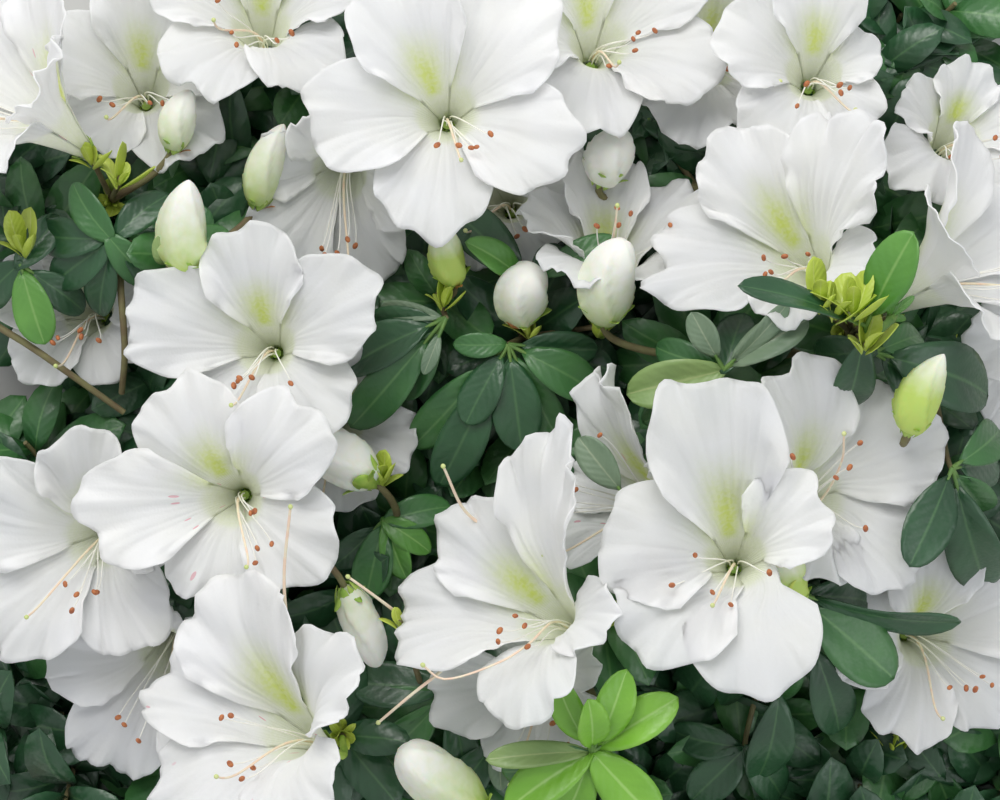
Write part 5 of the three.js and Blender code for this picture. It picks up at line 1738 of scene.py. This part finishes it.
@dataclass
class FlowerParts:
    """Grows what stands in and under the petals: stamens, styles, stalks and calyxes."""

    filament_radius: float = 0.23
    style_radius: float = 0.38
    stalk_radius: float = 0.95
    anther_length: float = 2.1
    stigma_length: float = 1.5
    sepal_length: float = 6.0
    depth: float = -11.0  # where stamens and style start, along the tube
    stamens: int = 5
    stamen_leans: Span = (20, 42)  # degrees from the bloom's axis
    stamen_reaches: Span = (24, 32)
    stamen_fan: float = 50  # degrees to either side of the lobe across from the spotted one
    style_fan: float = 35
    tube_sides: int = 8
    filament_sides: int = 6
    filaments: Paths = field(default_factory=Paths)
    styles: Paths = field(default_factory=Paths)
    stalks: Paths = field(default_factory=Paths)
    anthers: Sprouts = field(default_factory=Sprouts)
    stigmas: Sprouts = field(default_factory=Sprouts)
    sepals: Sprouts = field(default_factory=Sprouts)

    def grow(self, bloom: Bloom) -> None:
        """Adds the parts of one bloom."""
        rng = random.Random(bloom.seed)
        _, _, z = bloom.axes()
        ends = [np.asarray(p, float) for p in bloom.anthers]
        while len(ends) < self.stamens:
            lean = radians(rng.uniform(*self.stamen_leans))
            reach = rng.uniform(*self.stamen_reaches)
            turn = 180 + rng.uniform(-self.stamen_fan, self.stamen_fan)
            ends.append(bloom.at(turn, reach * sin(lean), reach * cos(lean)))
        for i, end in enumerate(ends):
            start = bloom.at(72 * i, 1.1, self.depth)
            line = bent_line([start, start + z * 15, end - z * 7 - (end - start) * 0.12, end], 12)
            self.filaments.add(line, self.filament_radius, self.filament_radius * 0.75)
            tilt = unit(np.array((rng.uniform(-1, 1), rng.uniform(-1, 1), 0.5)))
            self.anthers.add(end - tilt, tilt, z, self.anther_length)
        self.add_style(bloom, rng)
        self.add_stalk(bloom)

    def add_style(self, bloom: Bloom, rng: random.Random) -> None:
        """Adds a bloom's style and the stigma at its end."""
        _, _, z = bloom.axes()
        start = bloom.at(0, 0, self.depth)
        if bloom.style:
            line = smooth_path([start, bloom.at(180, 2, 1), *bloom.style], 26)
        else:
            end = bloom.at(180 + rng.uniform(-self.style_fan, self.style_fan), 20, 33)
            line = bent_line([start, start + z * 20, end - z * 12, end], 18)
        self.styles.add(line, self.style_radius, self.style_radius * 0.8)
        last = line[-1] - line[-2]
        self.stigmas.add(line[-1] - unit(last) * 0.3, last, z, self.stigma_length)

    def add_loose_styles(self) -> None:
        """Adds the styles that stay where flowers have dropped."""
        for points in LOOSE_STYLES:
            line = smooth_path(points, 16)
            self.styles.add(line, 1.3 * self.style_radius, self.style_radius)
            self.stigmas.add(line[-1], line[-1] - line[-2], np.array((0, 0, 1.0)), self.stigma_length)

    def add_stalk(self, bloom: Bloom) -> None:
        """Adds a bloom's stalk from its knob, and the five sepals at the foot of its tube."""
        tip = next(np.asarray(s.tip, float) for m in MASSES for s in m.shoots if s.truss == bloom.truss)
        before, base, inside = (
            bloom.at(0, 0, along) for along in (-TUBE_LENGTH - STALK_STRAIGHT, -TUBE_LENGTH, -TUBE_LENGTH + 1.5)
        )
        start = tip + unit(before - tip) * KNOB_RADIUS * 0.4
        line = smooth_path([start, before, base, inside], 14)
        self.stalks.add(line, self.stalk_radius, self.stalk_radius * 1.5)
        x, y, z = bloom.axes()
        for k in range(5):
            outwards = turned(x, y, radians(72 * k + 36))
            foot = bloom.at(72 * k + 36, 1.2, -TUBE_LENGTH - 0.2)
            self.sepals.add(foot, 0.8 * z + 0.6 * outwards, 0.8 * z - outwards, self.sepal_length, k % 2)

    def place(self, growth: Growth, shapes: LeafShapes) -> None:
        """Makes the flower parts and places them."""
        green = CALYX.material()
        made = [
            self.filaments.grown("filaments", growth, self.filament_sides, FILAMENT.material()),
            self.styles.grown("styles", growth, self.tube_sides, STYLE.material()),
            self.anthers.grown("anthers", growth, shapes.anthers, ANTHER.material(), 0.15),
            self.stigmas.grown("stigmas", growth, shapes.stigmas, STIGMA.material()),
            self.stalks.grown("flower_stalks", growth, self.tube_sides, green),
            self.sepals.grown("sepals", growth, shapes.scales, green, 0.1),
        ]
        for piece in made:
            placed(piece, [f"bloom_{bloom.name}" for bloom in BLOOMS])


@dataclass(frozen=True)
class Bud:
    """A closed bud with the scales at its foot."""

    foot: Triple
    tip: Triple
    radius: float
    point: float  # how pointed it is, from 0 to 1
    greenness: float  # how far up the green of its foot goes
    husks: int  # how many brown scales stay at its foot

    ROWS = 24
    COLUMNS = 40
    SCALES = 7

    def add_to(self, joined: Joined) -> None:
        """Adds the bud's folded petals to a mesh."""
        t = 1 - (1 - np.linspace(0, 1, self.ROWS)[:, None]) ** 1.3
        turn = ring(self.COLUMNS)
        blunt = 0.42 + 0.45 * self.point
        swell = t**0.5 * (1 - t) ** blunt
        swell = swell / (0.5**0.5 * 0.5**blunt) + 0.14 * (1 - t) ** 3 + 0.01
        fold = ((5 * turn / (2 * pi) + 0.9 * t) % 1.0) ** 1.7
        radius = self.radius * swell * (1 + 0.2 * (fold - 0.4) * smooth_step(t / 0.25) * (1 - 0.4 * t))
        foot = np.asarray(self.foot, float)
        length = float(np.linalg.norm(np.asarray(self.tip) - foot))
        lean = 0.06 * length * np.sin(pi * t)
        x, y = radius * np.cos(turn) + lean, radius * np.sin(turn)
        grid = sheet(foot, self.axes(), x, y, length * t + 0 * turn)
        joined.add_grid(grid, wrapped=True, numbers={"foot": self.greenness * (1 - 0.8 * t) ** 1.4 + 0 * turn})

    def axes(self) -> Axes:
        """Returns two directions across the bud and the one along it."""
        z = unit(np.asarray(self.tip) - np.asarray(self.foot))
        x = unit(np.cross(z, (0.3, 0.9, 0.1)))
        return x, np.cross(z, x), z

    def add_scales(self, green: Sprouts, brown: Sprouts) -> None:
        """Adds the green scales that hold the bud's foot, and its brown ones."""
        x, y, z = self.axes()
        for i in range(self.SCALES + self.husks):
            outwards = turned(x, y, i * GOLDEN_ANGLE + self.radius)
            base = np.asarray(self.foot, float) + outwards * 0.35 * self.radius - z * 0.8
            scales, lean, share = (green, 0.62, 1.25) if i < self.SCALES else (brown, 0.95, 1.0)
            scales.add(base, z + lean * outwards, z * 0.8 - outwards, self.radius * share, i % 2)


BUDS = (
    Bud((5.4, 22.8, 58), (8.9, 36.1, 76), 7.3, 0.1, 0.9, 2),
    Bud((28.8, 21.8, 72), (33.3, 43.6, 90), 7.6, 0.3, 0.9, 0),
    Bud((-88.2, 35.9, 68), (-85.5, 60.5, 84), 6.6, 0.75, 1.2, 0),
    Bud((-70.3, 55.9, 48), (-61.3, 78.3, 60), 5, 0.6, 1.1, 1),
    Bud((-93.8, 71.5, 54), (-87.7, 87.7, 62), 5, 0.4, 0.8, 1),
    Bud((-13, 32.7, 64), (-15.6, 48.3, 76), 4.8, 0.6, 2.4, 1),
    Bud((28.5, 61.6, 56), (35, 76.2, 64), 6.6, 0.2, 0.3, 1),
    Bud((-43.3, -51.7, 76), (-34.5, -75.3, 62), 5.2, 0.3, 0.5, 0),
    Bud((-5, -116.5, 70), (-26.8, -95.7, 88), 7.8, 0.05, 1.3, 0),
    Bud((-35.6, -23.1, 64), (-54.4, -8.3, 76), 7.2, 0.2, 0.4, 0),
    Bud((110, -8.6, 98), (117.8, 12.2, 110), 5.6, 0.8, 2.4, 0),
    Bud((81.4, -55.4, 86), (77.7, -42.1, 98), 4.8, 0.1, 2.8, 0),
)


@dataclass
class Buds:
    """The closed buds, the scales at their feet and the twigs that carry them."""

    petals: Joined = field(default_factory=Joined)
    scales: Sprouts = field(default_factory=Sprouts)
    husks: Sprouts = field(default_factory=Sprouts)
    twigs: Paths = field(default_factory=Paths)

    def grow(self, lines: dict[str, list[Array]]) -> None:
        """Adds every bud, and a twig to each from the nearest twig below it."""
        every = [line for group in lines.values() for line in group]
        for bud in BUDS:
            bud.add_to(self.petals)
            bud.add_scales(self.scales, self.husks)
            foot = np.asarray(bud.foot, float)
            root = nearest_root(every, foot)
            gap = float(np.linalg.norm(foot - root))
            late = foot - bud.axes()[2] * 0.35 * gap
            self.twigs.add(bent_line([root, root + (0, 0, 0.3 * gap), late, foot], 14), 1.2, 1.0)

    def place(self, growth: Growth, shapes: LeafShapes) -> None:
        """Makes the buds and places them."""
        made = {
            self.petals.made("buds", BudFinish().material()): "petals",
            self.scales.grown("bud_cups", growth, shapes.scales, CALYX.material(), 0.12): "foliage",
            self.husks.grown("bud_husks", growth, shapes.scales, HUSK.material(), 0.1): "foliage",
            self.twigs.grown("bud_twigs", growth, 8, TWIG.material()): "foliage",
        }
        for piece, slot in made.items():
            placed(piece, EVERY_MASS)


@dataclass
class Wood:
    """The branch's stem and boughs, with the relief of their bark, and the cut face at the stem's end."""

    relief: float = 0.55
    main_sides: int = 36
    bough_sides: int = 22
    cut_sides: int = 40
    cut_radii: tuple[float, ...] = (0.05, 0.35, 0.65, 0.93, 0.9)
    cut_depths: tuple[float, ...] = (-0.25, -0.25, -0.25, -0.15, 0.6)

    def place(self, growth: Growth) -> None:
        """Makes the woody limbs and the cut face and places them."""
        main, boughs = Paths(), Paths()
        for limb in LIMBS:
            (main if limb is LIMBS[0] else boughs).add(limb.line(), *limb.radii)
        bark = BarkFinish().material()
        stem = main.grown("stem_bark", growth, self.main_sides, bark, self.relief)
        rest = boughs.grown("bough_bark", growth, self.bough_sides, bark, 0.6 * self.relief)
        names = [limb.name for limb in LIMBS]
        for piece, nodes in ((stem, names[:1]), (rest, names[1:]), (self.cut_face(), names[:1])):
            placed(piece, nodes)

    def cut_face(self) -> Object:
        """Builds the pale disc of wood at the cut end of the stem."""
        line, radius = LIMBS[0].line(), LIMBS[0].radii[0]
        along = unit(line[1] - line[0])
        side = unit(np.cross(along, (0, 0, 1)))
        axes = (side, np.cross(along, side), along)
        radii, depth = np.array(self.cut_radii)[:, None] * radius, np.array(self.cut_depths)[:, None]
        turn = ring(self.cut_sides)
        x, y = radii * np.cos(turn), radii * np.sin(turn)
        grid = sheet(line[0], axes, x, y, depth + 0 * turn)
        joined = Joined()
        joined.add_grid(grid[::-1], (np.stack([x, y], axis=-1) / radius)[::-1], wrapped=True)
        return joined.made("cut_face", CutWoodFinish().material())


@dataclass(frozen=True)
class FloorFinish(Finish):
    """The floor's plain matt grey."""

    name: str = "floor_pale"
    grey: Colour = (0.62, 0.62, 0.6)

    def paint(self, tree: Tree) -> Inputs:
        """Returns what the shader's inputs get."""
        return {"Base Color": (*self.grey, 1.0), "Roughness": 0.9}


@dataclass(frozen=True)
class Studio:
    """The pale floor, the soft light and the camera above the branch. The floor and lamps are in metres."""

    camera_height: float = 830.0
    lens: float = 97.714
    floor_half: float = 3.0
    sky: Colour = (0.95, 0.96, 1.0)
    sky_strength: float = 0.57
    aim: Triple = (0.0, 0.0, 0.05)

    def build(self) -> None:
        """Makes the floor, the lights and the camera."""
        scene = bpy.context.scene
        scene.view_settings.view_transform = "Standard"
        mesh = bpy.data.meshes.new("floor")
        corners = [(x * self.floor_half, y * self.floor_half, 0) for x, y in ((-1, -1), (1, -1), (1, 1), (-1, 1))]
        mesh.from_pydata(corners, [], [(0, 1, 2, 3)])
        floor = linked("floor", mesh)
        mesh.materials.append(FloorFinish().material())
        world = bpy.data.worlds.new("studio")
        world.use_nodes = True
        sky = {"Color": (*self.sky, 1), "Strength": self.sky_strength}
        Tree(world.node_tree).feed(world.node_tree.nodes["Background"], sky)
        scene.world = world
        self.lamp("key", (-0.25, 0.75, 0.95), 0.9, 10.4, (1.0, 0.985, 0.96))
        self.lamp("fill", (0.7, -0.5, 0.8), 0.8, 2.2, (0.93, 0.97, 1.0))
        camera = bpy.data.objects.new("camera", bpy.data.cameras.new("camera"))
        camera.data.lens, camera.data.sensor_width = self.lens, 36.0
        camera.data.clip_start, camera.data.clip_end = 0.05, 10.0
        camera.location = Vector(to_frame(np.array((0.0, 0.0, self.camera_height))))
        scene.collection.objects.link(camera)
        scene.camera = camera

    def lamp(self, name: str, place: Triple, size: float, power: float, colour: Colour) -> None:
        """Adds a square soft lamp that shines at the branch's middle."""
        light = bpy.data.lights.new(name, "AREA")
        light.shape, light.size, light.energy, light.color = "SQUARE", size, power, colour
        made = bpy.data.objects.new(name, light)
        made.location = place
        made.rotation_mode = "QUATERNION"
        made.rotation_quaternion = (Vector(self.aim) - Vector(place)).to_track_quat("-Z", "Y")
        bpy.context.scene.collection.objects.link(made)


def main() -> None:
    """Builds the branch's looks piece by piece, and the studio."""
    logging.basicConfig(level=logging.INFO, format="%(name)s: %(message)s")
    growth, shapes = Growth(), LeafShapes()
    Wood().place(growth)
    parts = FlowerParts()
    for bloom in BLOOMS:
        placed(bloom.petals(PetalFinish()), [f"bloom_{bloom.name}"])
        parts.grow(bloom)
    parts.add_loose_styles()
    parts.place(growth, shapes)
    foliage = Foliage()
    foliage.grow()
    foliage.place(growth, shapes)
    closed = Buds()
    closed.grow(foliage.lines)
    closed.place(growth, shapes)
    shapes.cleared()
    Studio().build()
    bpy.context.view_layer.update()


if __name__ == "__main__":
    main()
